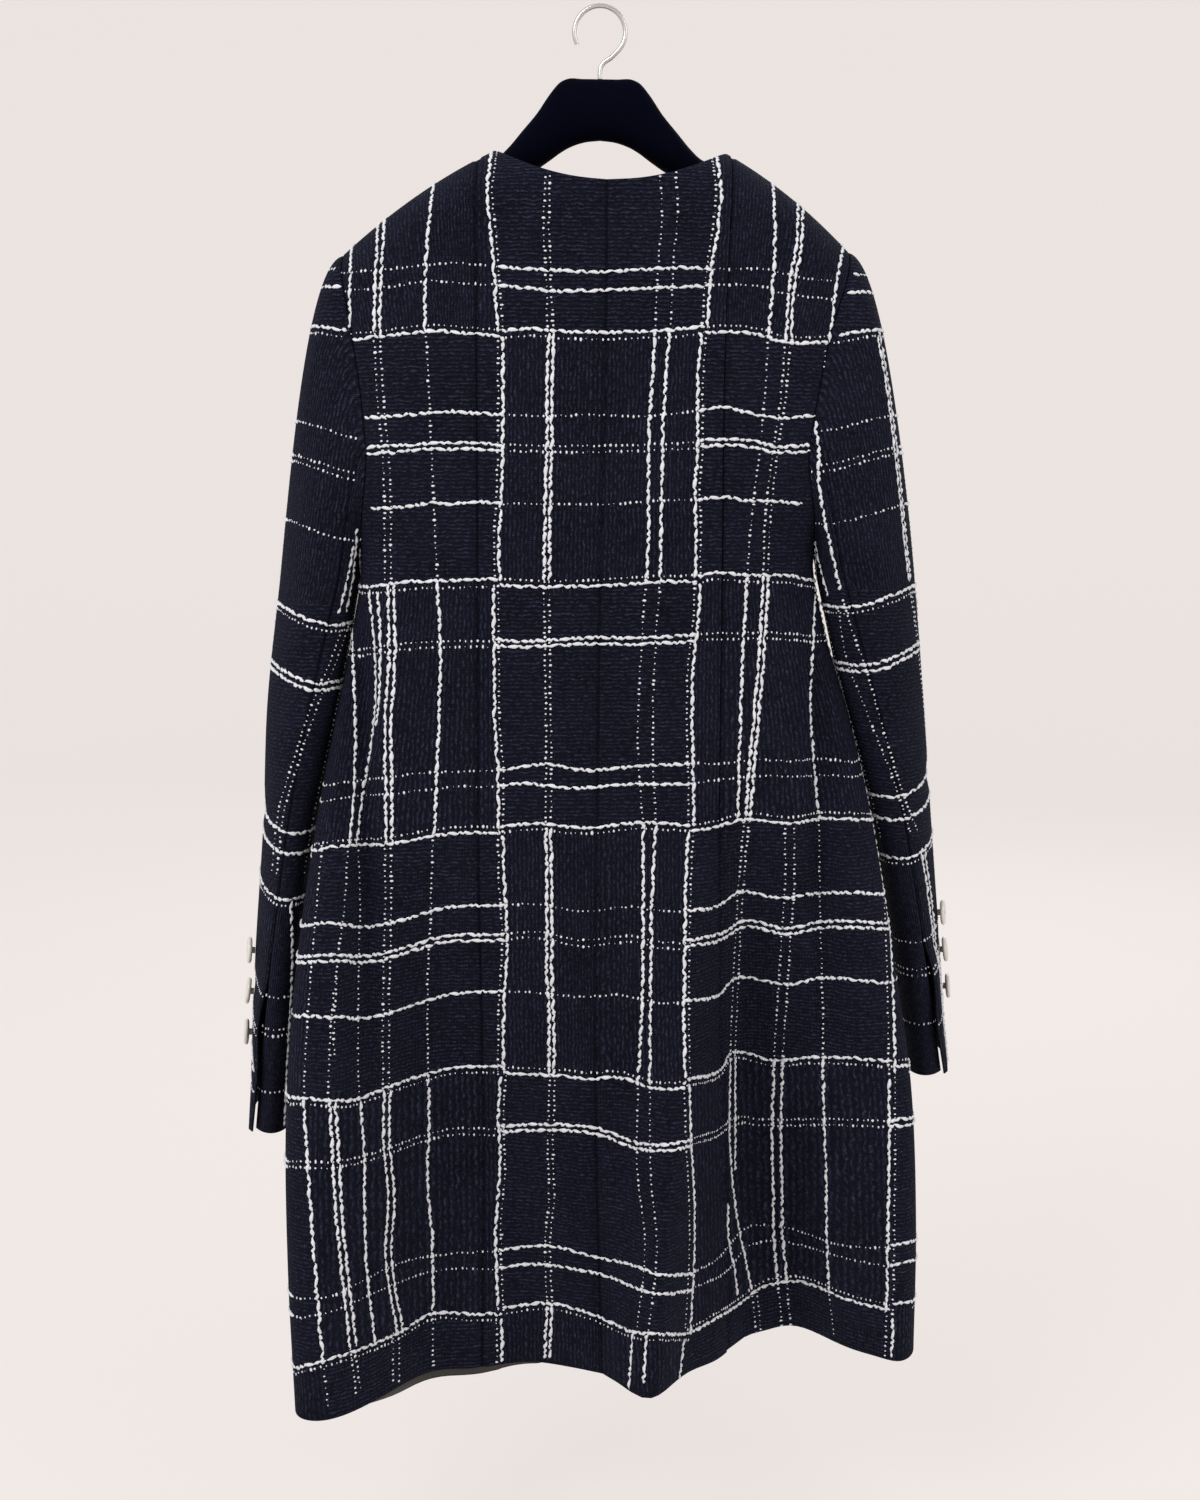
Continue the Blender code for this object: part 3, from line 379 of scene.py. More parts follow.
# Rows of the back in the photograph's pixels. S is a solid yarn and D a dotted one. Most
# parts go on where the last one ends
ROWS = {
    "shoulder upper": (
        ("D", ((342, 273), (391, 269), (436, 264), (452, 263), (497, 267))),
        ("S", ((497, 267), (547, 270), (601, 272), (637, 270), (692, 268), (714, 269))),
        ("D", ((714, 269), (723, 269), (770, 270), (786, 274), (810, 279), (831, 281))),
    ),
    "shoulder lower": (
        ("D", ((346, 291), (389, 287), (438, 281), (461, 283), (497, 285))),
        ("S", ((497, 285), (524, 288), (565, 291), (602, 290), (657, 288), (714, 285))),
        ("D", ((714, 285), (747, 285), (766, 287), (782, 293), (802, 296), (831, 299))),
    ),
    "first": (
        ("S", ((350, 340), (387, 336), (420, 332), (436, 331), (473, 334), (501, 336))),
        ("S", ((501, 331), (520, 329), (575, 332), (643, 331), (682, 329), (704, 326))),
        ("S", ((704, 333), (721, 332), (764, 336), (778, 341), (790, 343), (828, 342))),
    ),
    "second": (
        ("S", ((364, 418), (406, 415), (446, 412), (473, 413), (504, 415))),
        ("D", ((504, 415), (542, 416), (595, 415), (641, 416), (678, 413), (699, 411))),
        ("S", ((699, 411), (724, 407), (741, 411), (782, 418), (815, 415))),
    ),
    "second pair": (
        ("S", ((366, 448), (406, 445), (443, 443), (469, 443), (504, 445))),
        ("D", ((504, 445), (570, 446), (640, 445), (699, 442))),
        ("S", ((699, 441), (723, 439), (757, 442), (774, 446), (810, 445))),
    ),
    "third": (
        ("S", ((370, 509), (412, 506), (432, 503), (452, 504), (477, 502), (503, 503))),
        ("D", ((503, 504), (563, 504), (617, 504), (672, 500), (696, 500))),
        ("S", ((696, 500), (725, 497), (743, 500), (784, 502), (802, 504))),
    ),
    "waist": (
        ("S", ((369, 587), (408, 582), (442, 581), (469, 580), (499, 579))),
        ("S", ((499, 585), (548, 587), (595, 586), (643, 583), (697, 581))),
        ("S", ((697, 576), (712, 573), (749, 575), (790, 576), (814, 581))),
    ),
    "fourth pair": (
        ("D", ((359, 650), (401, 644), (452, 641), (494, 641))),
        ("S", ((494, 640), (526, 641), (548, 640), (587, 638), (641, 638), (696, 635))),
        ("D", ((696, 634), (733, 633), (780, 633), (810, 636))),
    ),
    "fifth": (
        ("D", ((323, 786), (341, 783), (373, 779), (404, 775), (440, 772), (497, 771))),
        ("S", ((497, 770), (529, 766), (545, 764), (581, 770), (638, 766), (694, 764))),
        ("D", ((694, 763), (718, 764), (761, 760), (794, 761), (820, 759), (852, 762))),
    ),
    "sixth": (
        ("D", ((322, 802), (342, 798), (388, 794), (432, 789), (453, 787), (498, 787))),
        ("S", ((498, 786), (527, 783), (545, 785), (581, 788), (600, 786), (694, 784))),
        ("D", ((694, 783), (735, 778), (774, 776), (794, 777), (820, 775), (852, 777))),
    ),
    "hip": (
        ("S", ((309, 851), (343, 846), (388, 844), (432, 836), (464, 833), (499, 833))),
        ("S", ((499, 827), (538, 823), (570, 827), (600, 827), (629, 823), (690, 825))),
        ("S", ((690, 831), (711, 828), (740, 820), (794, 823), (820, 819), (874, 820))),
    ),
    "seventh": (
        ("S", ((296, 927), (332, 923), (360, 927), (401, 920), (445, 908), (507, 905))),
        ("D", ((507, 905), (536, 904), (579, 911), (633, 907), (662, 911), (686, 911))),
        ("S", ((686, 911), (720, 905), (737, 893), (781, 898), (820, 893), (885, 894))),
    ),
    "seventh pair": (
        ("S", ((297, 957), (334, 955), (367, 956), (395, 950), (441, 937), (507, 934))),
        ("D", ((507, 933), (538, 932), (579, 940), (640, 937), (659, 942), (685, 943))),
        ("S", ((685, 941), (724, 932), (740, 922), (789, 928), (820, 922), (887, 923))),
    ),
    "eighth": (
        ("S", ((295, 1016), (330, 1017), (367, 1018), (395, 1011), (447, 995), (504, 991))),
        ("D", ((504, 991), (540, 993), (581, 997), (618, 995), (662, 1003), (684, 1003))),
        ("S", ((684, 1001), (720, 994), (731, 981), (794, 984), (809, 980), (889, 983))),
    ),
    "thigh": (
        ("S", ((291, 1098), (360, 1098), (383, 1089), (414, 1078), (446, 1069), (503, 1066))),
        ("S", ((503, 1073), (562, 1076), (596, 1079), (611, 1077), (662, 1089), (685, 1088))),
        ("S", ((687, 1080), (722, 1068), (729, 1055), (774, 1060), (815, 1057), (892, 1061))),
        ("S", ((894, 1067), (913, 1065))),
    ),
    "ninth pair": (
        ("D", ((288, 1161), (329, 1162), (377, 1152), (413, 1139), (444, 1130), (500, 1129))),
        ("S", ((500, 1126), (548, 1124), (600, 1129), (644, 1144), (662, 1145), (692, 1140))),
        ("D", ((692, 1138), (713, 1132), (739, 1117), (759, 1119), (825, 1119), (889, 1121))),
        ("S", ((889, 1121), (914, 1118))),
    ),
    "tenth": (
        ("D", ((301, 1299), (332, 1296), (360, 1282), (403, 1262), (449, 1254), (498, 1251))),
        ("S", ((498, 1250), (548, 1246), (600, 1258), (636, 1266), (659, 1274), (693, 1274))),
        ("D", ((693, 1272), (713, 1262), (751, 1226), (777, 1226), (846, 1246), (890, 1248))),
        ("S", ((890, 1246), (915, 1241))),
    ),
    "eleventh": (
        ("D", ((301, 1318), (334, 1311), (375, 1292), (416, 1276), (434, 1271), (498, 1269))),
        ("S", ((498, 1268), (533, 1264), (569, 1268), (600, 1274), (662, 1294), (693, 1290))),
        ("D", ((693, 1288), (723, 1274), (751, 1245), (802, 1245), (830, 1254), (889, 1267))),
        ("S", ((889, 1266), (915, 1260))),
    ),
    "hem": (
        ("S", ((296, 1368), (352, 1352), (398, 1333), (434, 1313), (469, 1314), (502, 1314))),
        ("S", ((502, 1308), (548, 1303), (600, 1317), (631, 1331), (662, 1334), (688, 1334))),
        ("S", ((688, 1334), (736, 1306), (764, 1286), (790, 1281), (853, 1301), (890, 1310))),
        ("S", ((892, 1304), (915, 1301))),
    ),
}

# How far, in pixels, the dotted yarn beside each part of a main row lies below it, and how
# far the second of a pair does
DOTS_BELOW = {
    "first": (-6, 7, -6),
    "waist": (7, -6, 7),
    "hip": (-6, 6, -6),
    "thigh": (6, -6, 6, -6),
    "hem": (6, 6, -5),
}
PAIRED_ROWS = {"second pair": 6, "fourth pair": 6, "seventh pair": 6, "ninth pair": 6}

# Columns of the back, charted alike. Their dotted and second yarns lie to the right
COLUMNS = {
    "left main": (
        ("S", ((492, 151), (487, 195), (491, 232), (495, 287), (498, 332))),
        ("S", ((503, 336), (503, 385), (503, 434), (501, 503), (499, 548), (500, 581))),
        ("S", ((493, 587), (494, 644), (495, 726), (498, 768), (498, 831))),
        ("S", ((503, 835), (504, 881), (507, 931), (504, 1004), (503, 1074))),
        ("S", ((501, 1076), (499, 1098), (500, 1165), (496, 1229), (498, 1310))),
        ("S", ((501, 1318), (502, 1343), (502, 1362))),
    ),
    "right main": (
        ("S", ((717, 157), (721, 193), (718, 226), (713, 258), (707, 328))),
        ("S", ((701, 332), (698, 381), (697, 460), (695, 489), (696, 532), (695, 578))),
        ("S", ((700, 583), (698, 624), (694, 656), (692, 726), (693, 768), (694, 826))),
        ("S", ((688, 831), (686, 879), (685, 924), (684, 1022), (685, 1078))),
        ("S", ((689, 1083), (691, 1144), (694, 1203), (694, 1254), (690, 1333))),
        ("S", ((684, 1338), (679, 1380))),
    ),
    "centre pair": (
        ("D", ((545, 177), (544, 230), (545, 258), (548, 332))),
        ("S", ((549, 332), (547, 385), (547, 432), (545, 507), (544, 583))),
        ("D", ((544, 583), (545, 656), (546, 730), (546, 828))),
        ("S", ((546, 828), (547, 924), (547, 976), (549, 1022), (549, 1076))),
        ("D", ((550, 1076), (548, 1165), (549, 1203), (546, 1229), (547, 1306))),
        ("S", ((547, 1306), (545, 1358))),
    ),
    "centre first": (
        ("D", ((660, 176), (662, 207), (659, 256), (655, 331))),
        ("S", ((655, 331), (652, 385), (649, 432), (648, 546), (646, 584))),
        ("D", ((646, 584), (641, 656), (638, 754), (643, 824))),
        ("S", ((643, 824), (643, 929), (642, 1007), (638, 1084))),
        ("D", ((638, 1084), (638, 1178), (645, 1239), (637, 1332))),
        ("S", ((633, 1332), (629, 1389))),
    ),
    "centre second": (
        ("D", ((676, 172), (678, 207), (674, 254), (670, 330))),
        ("S", ((670, 330), (665, 385), (662, 477), (660, 582))),
        ("D", ((660, 582), (655, 652), (653, 754), (656, 824))),
        ("S", ((656, 824), (652, 896), (651, 970), (650, 1087))),
        ("D", ((650, 1087), (651, 1178), (657, 1249), (648, 1334))),
        ("S", ((646, 1334), (644, 1383))),
    ),
    "left first": (
        ("S", ((435, 175), (429, 222), (426, 262), (425, 331))),
        ("D", ((426, 331), (429, 395), (432, 466), (436, 550), (437, 581))),
        ("S", ((437, 581), (440, 624), (440, 685), (437, 766), (434, 836))),
        ("D", ((433, 836), (430, 929), (428, 968), (428, 1073))),
        ("S", ((428, 1073), (429, 1129), (427, 1178), (432, 1241), (433, 1313))),
        ("D", ((433, 1313), (433, 1366))),
    ),
    "left pair": (
        ("S", ((380, 204), (377, 246), (375, 283), (374, 336))),
        ("D", ((374, 336), (378, 403), (383, 460), (385, 584))),
        ("S", ((388, 584), (389, 656), (385, 730), (386, 783), (386, 844))),
        ("D", ((385, 844), (385, 913), (383, 1000), (383, 1089))),
        ("S", ((384, 1089), (383, 1134), (388, 1203), (385, 1251), (397, 1333))),
        ("D", ((393, 1333), (393, 1380))),
    ),
    "left flank": (
        ("S", ((369, 589), (375, 652), (376, 695), (372, 740), (362, 800), (356, 845))),
        ("D", ((358, 845), (360, 900), (359, 946), (358, 1052), (359, 1098))),
        ("S", ((360, 1100), (364, 1152), (364, 1193), (366, 1262), (375, 1345))),
        ("S", ((378, 591), (380, 624), (380, 675), (379, 701), (376, 726))),
    ),
    "left far": (
        ("S", ((355, 222), (351, 262), (350, 340))),
        ("D", ((350, 340), (353, 500), (352, 586))),
        ("S", ((352, 600), (353, 652), (355, 726), (354, 783), (349, 846))),
        ("D", ((348, 846), (344, 909), (337, 963), (331, 1028), (328, 1098))),
        ("S", ((329, 1100), (333, 1165), (336, 1216), (344, 1295), (350, 1350))),
        ("D", ((350, 1350), (356, 1392))),
        ("D", ((337, 978), (334, 1028), (334, 1055))),
        ("S", ((335, 1101), (339, 1165), (342, 1216), (350, 1295), (356, 1346))),
        ("D", ((355, 1350), (360, 1388))),
    ),
    "left outer": (
        ("D", ((322, 846), (312, 960), (305, 1067), (304, 1098))),
        ("S", ((304, 1098), (307, 1152), (312, 1229), (318, 1305), (323, 1364))),
        ("D", ((323, 1364), (328, 1405))),
    ),
    "right first": (
        ("S", ((773, 187), (775, 232), (772, 293), (768, 337))),
        ("D", ((768, 337), (767, 366), (751, 528), (747, 575))),
        ("S", ((747, 575), (743, 648), (741, 701), (739, 762), (738, 821))),
    ),
    "right pair": (
        ("S", ((798, 205), (796, 248), (790, 279), (786, 342))),
        ("D", ((785, 342), (781, 395), (771, 466), (764, 540), (763, 575))),
        ("S", ((763, 575), (760, 638), (755, 701), (749, 768), (745, 822))),
        ("D", ((744, 822), (740, 864), (734, 961), (731, 1028), (730, 1055))),
        ("D", ((752, 1292), (756, 1332))),
    ),
    "right bent": (
        ("S", ((730, 1057), (730, 1152), (736, 1213), (744, 1254), (752, 1292))),
        ("S", ((735, 1057), (735, 1110), (735, 1170))),
        ("S", ((728, 1203), (728, 1234), (731, 1254), (735, 1274), (737, 1295))),
    ),
    "right fold pair": (
        ("D", ((785, 823), (785, 890), (781, 946), (774, 1056))),
        ("S", ((774, 1058), (772, 1139), (773, 1190), (774, 1241), (778, 1284))),
        ("D", ((778, 1284), (782, 1330))),
    ),
    "right single": (
        ("D", ((826, 345), (820, 420), (816, 500), (816, 576))),
        ("S", ((816, 576), (813, 640), (810, 709), (814, 766), (819, 820))),
        ("D", ((819, 820), (820, 909), (823, 1037), (823, 1058))),
        ("S", ((823, 1058), (824, 1114), (826, 1165), (827, 1239), (829, 1290))),
        ("D", ((829, 1290), (834, 1334))),
    ),
    "right armhole": (("S", ((844, 242), (838, 273), (833, 313), (829, 342))),),
}

DOTS_BESIDE = {
    "left main": (5, -5, 5, -5, 5, -5),
    "right main": (-5, 5, -5, 5, -5),
}
PAIRED_COLUMNS = {"centre pair": 5, "left pair": 6, "right pair": 5, "right fold pair": 9}

# Columns that start on a shoulder: how low they may start, and the steps over to its seam
SHOULDER_LOW = 210.0
SHOULDER_STEP = 1.5
SHOULDER_STEPS = 80
SHOULDER_JUMP = 9.0
SHOULDER_LEAST = 3

# The main column near the right edge of the back, which is seen too steeply to chart: its X
# at each drop, and how far after a main row a part of it starts and before the next one ends
RIGHT_OUTER_COLUMNS = ("drop", "x")
RIGHT_OUTER = ((406, 196), (592, 214), (700, 218), (780, 220), (1003, 221))
RIGHT_OUTER_STEPS = 60
RIGHT_OUTER_MARGINS = (2, 1)

# Drops of the check's rows on the front and the sides, and its columns there as X. A check
# block turns its yarns at each main line
SIDE_ROWS = {
    "shoulder upper": (168, "low"),
    "shoulder lower": (181, "low"),
    "first": (217, "main"),
    "second": (277, "high"),
    "second pair": (300, "high"),
    "second pair again": (304.5, "high"),
    "third": (343, "high"),
    "waist": (406, "main"),
    "fourth pair": (452, "low"),
    "fourth pair again": (456.5, "low"),
    "fifth": (548, "low"),
    "sixth": (561, "low"),
    "hip": (592, "main"),
    "seventh": (652, "high"),
    "seventh pair": (674, "high"),
    "seventh pair again": (678.5, "high"),
    "eighth": (718, "high"),
    "thigh": (780, "main"),
    "ninth pair": (826, "low"),
    "ninth pair again": (830.5, "low"),
    "tenth": (918, "low"),
    "eleventh": (932, "low"),
    "hem": (966, "main"),
}
MAIN_DROPS = [level for level, kind in SIDE_ROWS.values() if kind == "main"]
FRONT_COLUMNS = {
    "main": (-219, -73, 73, 219),
    "line": (-186, -130, -125.5, -98, -44, -16, -11.5, 40, 96, 124, 128.5, 180),
}
FRONT_MIDDLE = 2.0

# How the front's rows and columns are laid: points along each, the share of a row in which it
# comes to its own drop, and how far from the edges of the cloth they stay
ROW_STEPS = 160
ROW_START_STEPS = 24
ROW_SETTLES = 0.35
ROW_MARGIN = 1.5
COLUMN_STEPS = 300
COLUMN_LEAST = 6
COLUMN_FIRST_DROP = 104.0
COLUMN_NECK_MARGIN = 3.0
HEM_MARGIN = 2.0
SIDE_MARGIN = 6.0
ARMHOLE_MARGIN = 0.02

# Sleeves: drops of their rings on the outside of the arm, and how far each ring sinks
# towards the inside. "low" rings are solid in the block that faces back
SLEEVE_MAIN_DROPS = {"left": (225, 425, 625), "right": (226, 414, 607)}
SLEEVE_RINGS = {
    "left": (
        ("low", (184, 197, 467, 472, 576, 591)),
        ("high", (293, 317, 321.5, 364, 698, 722, 727, 770)),
    ),
    "right": (
        ("low", (186, 199, 457, 462, 558, 576)),
        ("high", (288, 311, 315.5, 353, 676, 699, 704, 745)),
    ),
}
SLEEVE_SINK = 14.0
SLEEVE_SINK_FROM = 0.1
SLEEVE_SINK_RUN = 0.7

# Lengthways yarns of the sleeves, as shares round the armhole: the block that faces back, the
# main yarn, those that run all the way, and those in single bands of the back, by band
SLEEVE_BACK_BLOCK = (-0.13, 0.86)
SLEEVE_MAIN_SHARE = 0.86
SLEEVE_LINE_SHARES = (0.02, 0.17, 0.20, 0.42, 0.58, 0.61, 0.74)
SLEEVE_BACK_LINES = {
    "left": {1: (-0.985, 0.93), 2: (-0.985, 0.93), 3: (0.93,)},
    "right": {
        1: (-0.155, -0.185, -0.985, 0.93),
        2: (-0.155, -0.185, -0.985, 0.93),
        3: (-0.52, -0.57, -0.155, 0.93),
    },
}

# Lengthways yarns of the sleeves that the photograph shows, charted in its pixels
SLEEVE_COLUMNS_SEEN = {
    "left": (
        ("S", ((357, 528), (355, 554), (352, 582), (346, 612))),
        ("S", ((353, 545), (349, 570), (344, 592), (338, 614))),
        ("D", ((343, 625), (330, 662), (322, 680), (305, 725), (291, 768), (280, 805), (272, 870))),
        ("D", ((348, 627), (335, 664), (327, 682), (310, 727), (296, 770), (285, 808), (277, 874))),
        ("S", ((291, 900), (292, 946), (290, 1007), (288, 1043), (284, 1127))),
        ("S", ((251, 965), (250, 1000), (252, 1040), (254, 1072))),
    ),
    "right": (
        ("S", ((810, 455), (807, 471), (808, 493), (813, 530), (821, 569), (828, 596))),
        ("S", ((815, 420), (818, 444), (819, 485), (822, 505), (831, 548), (840, 590))),
        ("D", ((843, 600), (852, 630), (867, 672), (879, 715), (893, 762), (905, 800), (917, 830))),
        ("D", ((838, 606), (847, 660), (862, 700), (873, 728), (888, 765), (900, 800), (910, 832))),
    ),
}

# Finishes: what each one's shader is given, its colours from dark to light, and its relief.
# Lengths are in metres, scales are for each metre
TWEED_SHADER = {
    "Roughness": 0.95,
    "Sheen Weight": 0.03,
    "Sheen Roughness": 0.5,
    "Sheen Tint": (0.45, 0.55, 1.0, 1.0),
    "Specular IOR Level": 0.06,
}
# The ground's colours, from the grooves of its relief to the tops of its ribs and lumps: painted
# shade in the grooves, over the yarns' own tone
GROUND_DARK = (0.0006, 0.0007, 0.0022)
GROUND_LIGHT = (0.035, 0.037, 0.073)
RIB_PITCH = 0.0029
RIB_WANDER = 0.0042
RIB_WANDER_SCALE = 160.0
FINE_PITCH = RIB_PITCH * 0.52
FINE_HEIGHT = 0.35
LUMP_SCALE = 330.0
LUMP_HEIGHT = 4.6
SLUB_SCALE = 420.0
SLUB_HEIGHT = 1.7
GROUND_RELIEF = 0.0013
GROUND_GAIN = 0.345
GROUND_CONTRAST = 3.2
PATCH_SCALE = 26.0
PATCH_SHARE = 0.18
# Painted shade along the seams: how many mm beside a panel's edge the ground's colour darkens over
SEAM_PAINTED_SHADE = 1.6

YARN_SHADER = {"Roughness": 0.9, "Sheen Weight": 0.2, "Specular IOR Level": 0.2}
YARN_COLOUR = (0.88, 0.90, 0.95)
# How grey the yarn's mottle goes: partly its own uneven tone, partly painted shade for its hollows
YARN_TONE_AND_SHADE = 0.42
YARN_FIBRE_SCALE = 1500.0
YARN_FIBRE_SHARE = 0.7
YARN_PATCH_SCALE = 90.0
YARN_PATCH_SHARE = 0.6

LINING_SHADER = {"Roughness": 0.42}
LINING_DARK = (0.008, 0.006, 0.005)
LINING_LIGHT = (0.026, 0.019, 0.016)
LINING_TWILL = {"Scale": 900.0, "Distortion": 1.0}

BACKDROP = (0.845, 0.795, 0.770)
BACKDROP_ALBEDO = 0.24
BACKDROP_MOTTLE = 1.02
BACKDROP_MOTTLE_SCALE = 3.0
BACKDROP_SHADER = {
    "Roughness": 0.95,
    "Specular IOR Level": 0.0,
    "Emission Color": (*BACKDROP, 1),
    "Emission Strength": 0.78,
}

# The other finishes: dark and light colour, what their shaders are given, and the scale and
# depth of their relief. Their roughness spreads with it
ROUGHNESS_SPREAD = 0.2
PLAIN_FINISHES = {
    "pearl": (
        (0.62, 0.59, 0.53),
        (0.80, 0.78, 0.73),
        {"Roughness": 0.32, "Coat Weight": 0.3},
        (90.0, 0.0002),
    ),
    "thread": ((0.5, 0.47, 0.4), (0.7, 0.67, 0.6), {"Roughness": 0.8}, (900.0, 0.0003)),
    "hanger_coating": (
        (0.0004, 0.0006, 0.0030),
        (0.0014, 0.0016, 0.0075),
        {"Roughness": 0.85, "Specular IOR Level": 0.03},
        (700.0, 0.0001),
    ),
    "steel": (
        (0.50, 0.50, 0.50),
        (0.62, 0.62, 0.62),
        {"Roughness": 0.3, "Metallic": 1.0},
        (500.0, 0.00005),
    ),
}

# Buttons: the profile of a face, as radius and height, and the cross of thread on it
BUTTON_FACE = (
    ((0.01, 0), (2.4, 0), (2.4, 2.2), (8.2, 2.5), (9.4, 3.0), (10, 3.9), (9.9, 4.8), (9.3, 5.6))
    + ((8.6, 5.9), (7.9, 5.7), (7.3, 5.1), (6.2, 4.75), (4.0, 4.6), (1.6, 4.6), (0.01, 4.6))
)
BUTTON_FACE_STEPS = 48
THREAD_WAYS = ((1, 0.9), (1, -0.9))
THREAD_REACH = 2.2
THREAD_RADIUS = 0.38
THREAD_HEIGHT = 5.0
THREAD_RISE = 0.55
THREAD_STEPS = 9
THREAD_SIDES = 6

# Stage: a round floor, bent up into a wall
FLOOR_REACH = 4200.0
FLOOR_BEND = 900.0
FLOOR_BEND_STEPS = 12
FLOOR_BELOW = 160.0
FLOOR_STEPS = 96
WALL_HEIGHT = 5200.0

# Lights, in metres: place, aim, size and power
LAMPS = {
    "key": ((-1.5, -1.9, 1.5), (0, 0, -0.18), (1.6, 1.6), 46),
    "fill": ((1.9, -1.6, 0.8), (0, 0, -0.2), (1.8, 1.8), 15),
    "top": ((0, 0.2, 2.0), (0, 0.2, -0.5), (2.4, 2.0), 8),
    "behind": ((0.6, 2.4, 0.9), (0, 0, -0.5), (2.0, 2.0), 22),
}
WORLD_COLOUR = (1.0, 0.985, 0.975)
WORLD_STRENGTH = 0.45


def finer(values):
    """The same values with more between them, evenly."""
    values = np.asarray(values, float)
    steps = np.arange(FINER) / FINER
    between = values[:-1, None] + np.diff(values)[:, None] * steps
    return np.append(between.ravel(), values[-1])


def unit(vectors):
    return vectors / np.linalg.norm(vectors, axis=-1, keepdims=True)


def smooth_step(share):
    share = np.clip(share, 0.0, 1.0)
    return share * share * (3.0 - 2.0 * share)


def column(rows, names, name):
    return np.array([row[names.index(name)] for row in rows], float)


def curve_through(levels, values, at):
    """A smooth curve through a table's column, held level past its ends."""
    at = np.clip(at, levels[0], levels[-1])
    slopes = np.gradient(values, levels)
    low = np.clip(np.searchsorted(levels, at, side="right") - 1, 0, len(levels) - 2)
    span = levels[low + 1] - levels[low]
    share = (at - levels[low]) / span
    start = values[low] * (1 + 2 * share) * (1 - share) ** 2
    end = values[low + 1] * share**2 * (3 - 2 * share)
    bend = span * share * (1 - share) * (slopes[low] * (1 - share) - slopes[low + 1] * share)
    return start + end + bend


def table_value(rows, names, name, drop):
    return curve_through(column(rows, names, "drop"), column(rows, names, name), drop)


def ring_value(name, drop):
    return table_value(RINGS, RING_COLUMNS, name, drop)


def signed_power(value, power):
    return np.sign(value) * np.abs(value) ** power


def fold_shift(x, backness, drop):
    """How far the folds move the cloth along Y."""
    shift = np.zeros(np.broadcast(x, drop).shape)
    for row in FOLDS.values():
        fold = dict(zip(FOLD_COLUMNS, row))
        down = (drop - FOLD_TOP) / (HEM_DROP - FOLD_TOP)
        axis = fold["top_x"] + (fold["hem_x"] - fold["top_x"]) * down
        grown = smooth_step((drop - fold["begins"]) / (fold["full"] - fold["begins"]))
        faded = smooth_step((drop - fold["fades"]) / (fold["gone"] - fold["fades"]))
        amount = fold["back"] * backness + fold["front"] * (1 - backness)
        shift = shift + amount * grown * (1 - faded) * np.exp(-(((x - axis) / fold["width"]) ** 2))
    return shift


def across_of(angle):
    return signed_power(np.sin(angle), 2 / SQUARENESS)


def ring_x(angle, drop):
    left = ring_value("left", drop)
    right = ring_value("right", drop)
    return (left + right) / 2 + (right - left) / 2 * across_of(angle)


def ring_y(angle, drop):
    """Y of the hanging cloth. Angles are 0 at the back's middle, 90 degrees at the right edge."""
    x = ring_x(angle, drop)
    towards_back = signed_power(np.cos(angle), 2 / SQUARENESS)
    depth = np.where(towards_back > 0, ring_value("back", drop), ring_value("front", drop))
    swing = ring_value("swing", drop) * np.abs(across_of(angle)) ** SWING_POWER
    backness = smooth_step((towards_back + FOLD_BLEND) / (2 * FOLD_BLEND))
    plane = ring_value("turn", drop) * x - swing
    folded = fold_shift(x, backness, drop) + crease_shift(x, backness, drop)
    return plane - depth * towards_back + folded


def angle_at(x, drop):
    """The back's angle at an X. The front's is 180 degrees less it."""
    left = ring_value("left", drop)
    right = ring_value("right", drop)
    across = np.clip((x - (left + right) / 2) / ((right - left) / 2), -1, 1)
    return np.arcsin(signed_power(across, SQUARENESS / 2))


def from_neck(x):
    """Distance along the shoulder from the neck point, scaled alike; below 0 inside the neck."""
    left_scale = SHOULDER_LENGTH / (NECK_CENTRE - NECK_HALF - LEFT_SHOULDER_X)
    right_scale = SHOULDER_LENGTH / (RIGHT_SHOULDER_X - NECK_CENTRE - NECK_HALF)
    out = np.abs(x - NECK_CENTRE) - NECK_HALF
    return out * np.where(x < NECK_CENTRE, left_scale, right_scale)


def ridge_drop(x):
    """Drop of the shoulder ridge, which rises a little across the neck."""
    out = np.maximum(from_neck(x), 0)
    fall = (RIDGE_SLOPE * out + RIDGE_ROUND * out**2) * np.where(x > NECK_CENTRE, RIGHT_FALL, 1)
    inside = np.clip(1 - np.abs(x - NECK_CENTRE) / NECK_HALF, 0, 1)
    return NECK_DROP + fall - RIDGE_RISE * smooth_step(inside)


def ridge_y(x):
    return RIDGE_TURN * x + RIDGE_BOW * x**2


def neck_drop(x, front):
    """Drop of the neckline, or of the shoulder ridge beside it."""
    out = np.clip(np.abs(x - NECK_CENTRE) / NECK_HALF, 0, 1)
    if front:
        return ridge_drop(x) * (out >= 1) + (out < 1) * (
            NECK_DROP + FRONT_NECK_DEPTH * (1 - out**FRONT_NECK_SQUARENESS) ** FRONT_NECK_ROUND
        )
    return ridge_drop(x) * (out >= 1) + (out < 1) * (
        NECK_DROP + BACK_NECK_DEPTH * (1 - out**BACK_NECK_SQUARENESS)
    )


def length_at(x, drop):
    """Cloth length from the ridge down to a drop."""
    below = np.maximum(drop - ridge_drop(x), 0)
    rolled = np.arccos(np.clip(1 - below / ROLL_HEIGHT, 0, 1)) / (math.pi / 2) * ROLL_LENGTH
    return np.where(below < ROLL_HEIGHT, rolled, ROLL_LENGTH + below - ROLL_HEIGHT)


def drop_at(x, length):
    """The drop that a length of cloth from the ridge comes down to."""
    roll = np.clip(length / ROLL_LENGTH, 0, 1) * math.pi / 2
    return ridge_drop(x) + ROLL_HEIGHT * (1 - np.cos(roll)) + np.maximum(length - ROLL_LENGTH, 0)


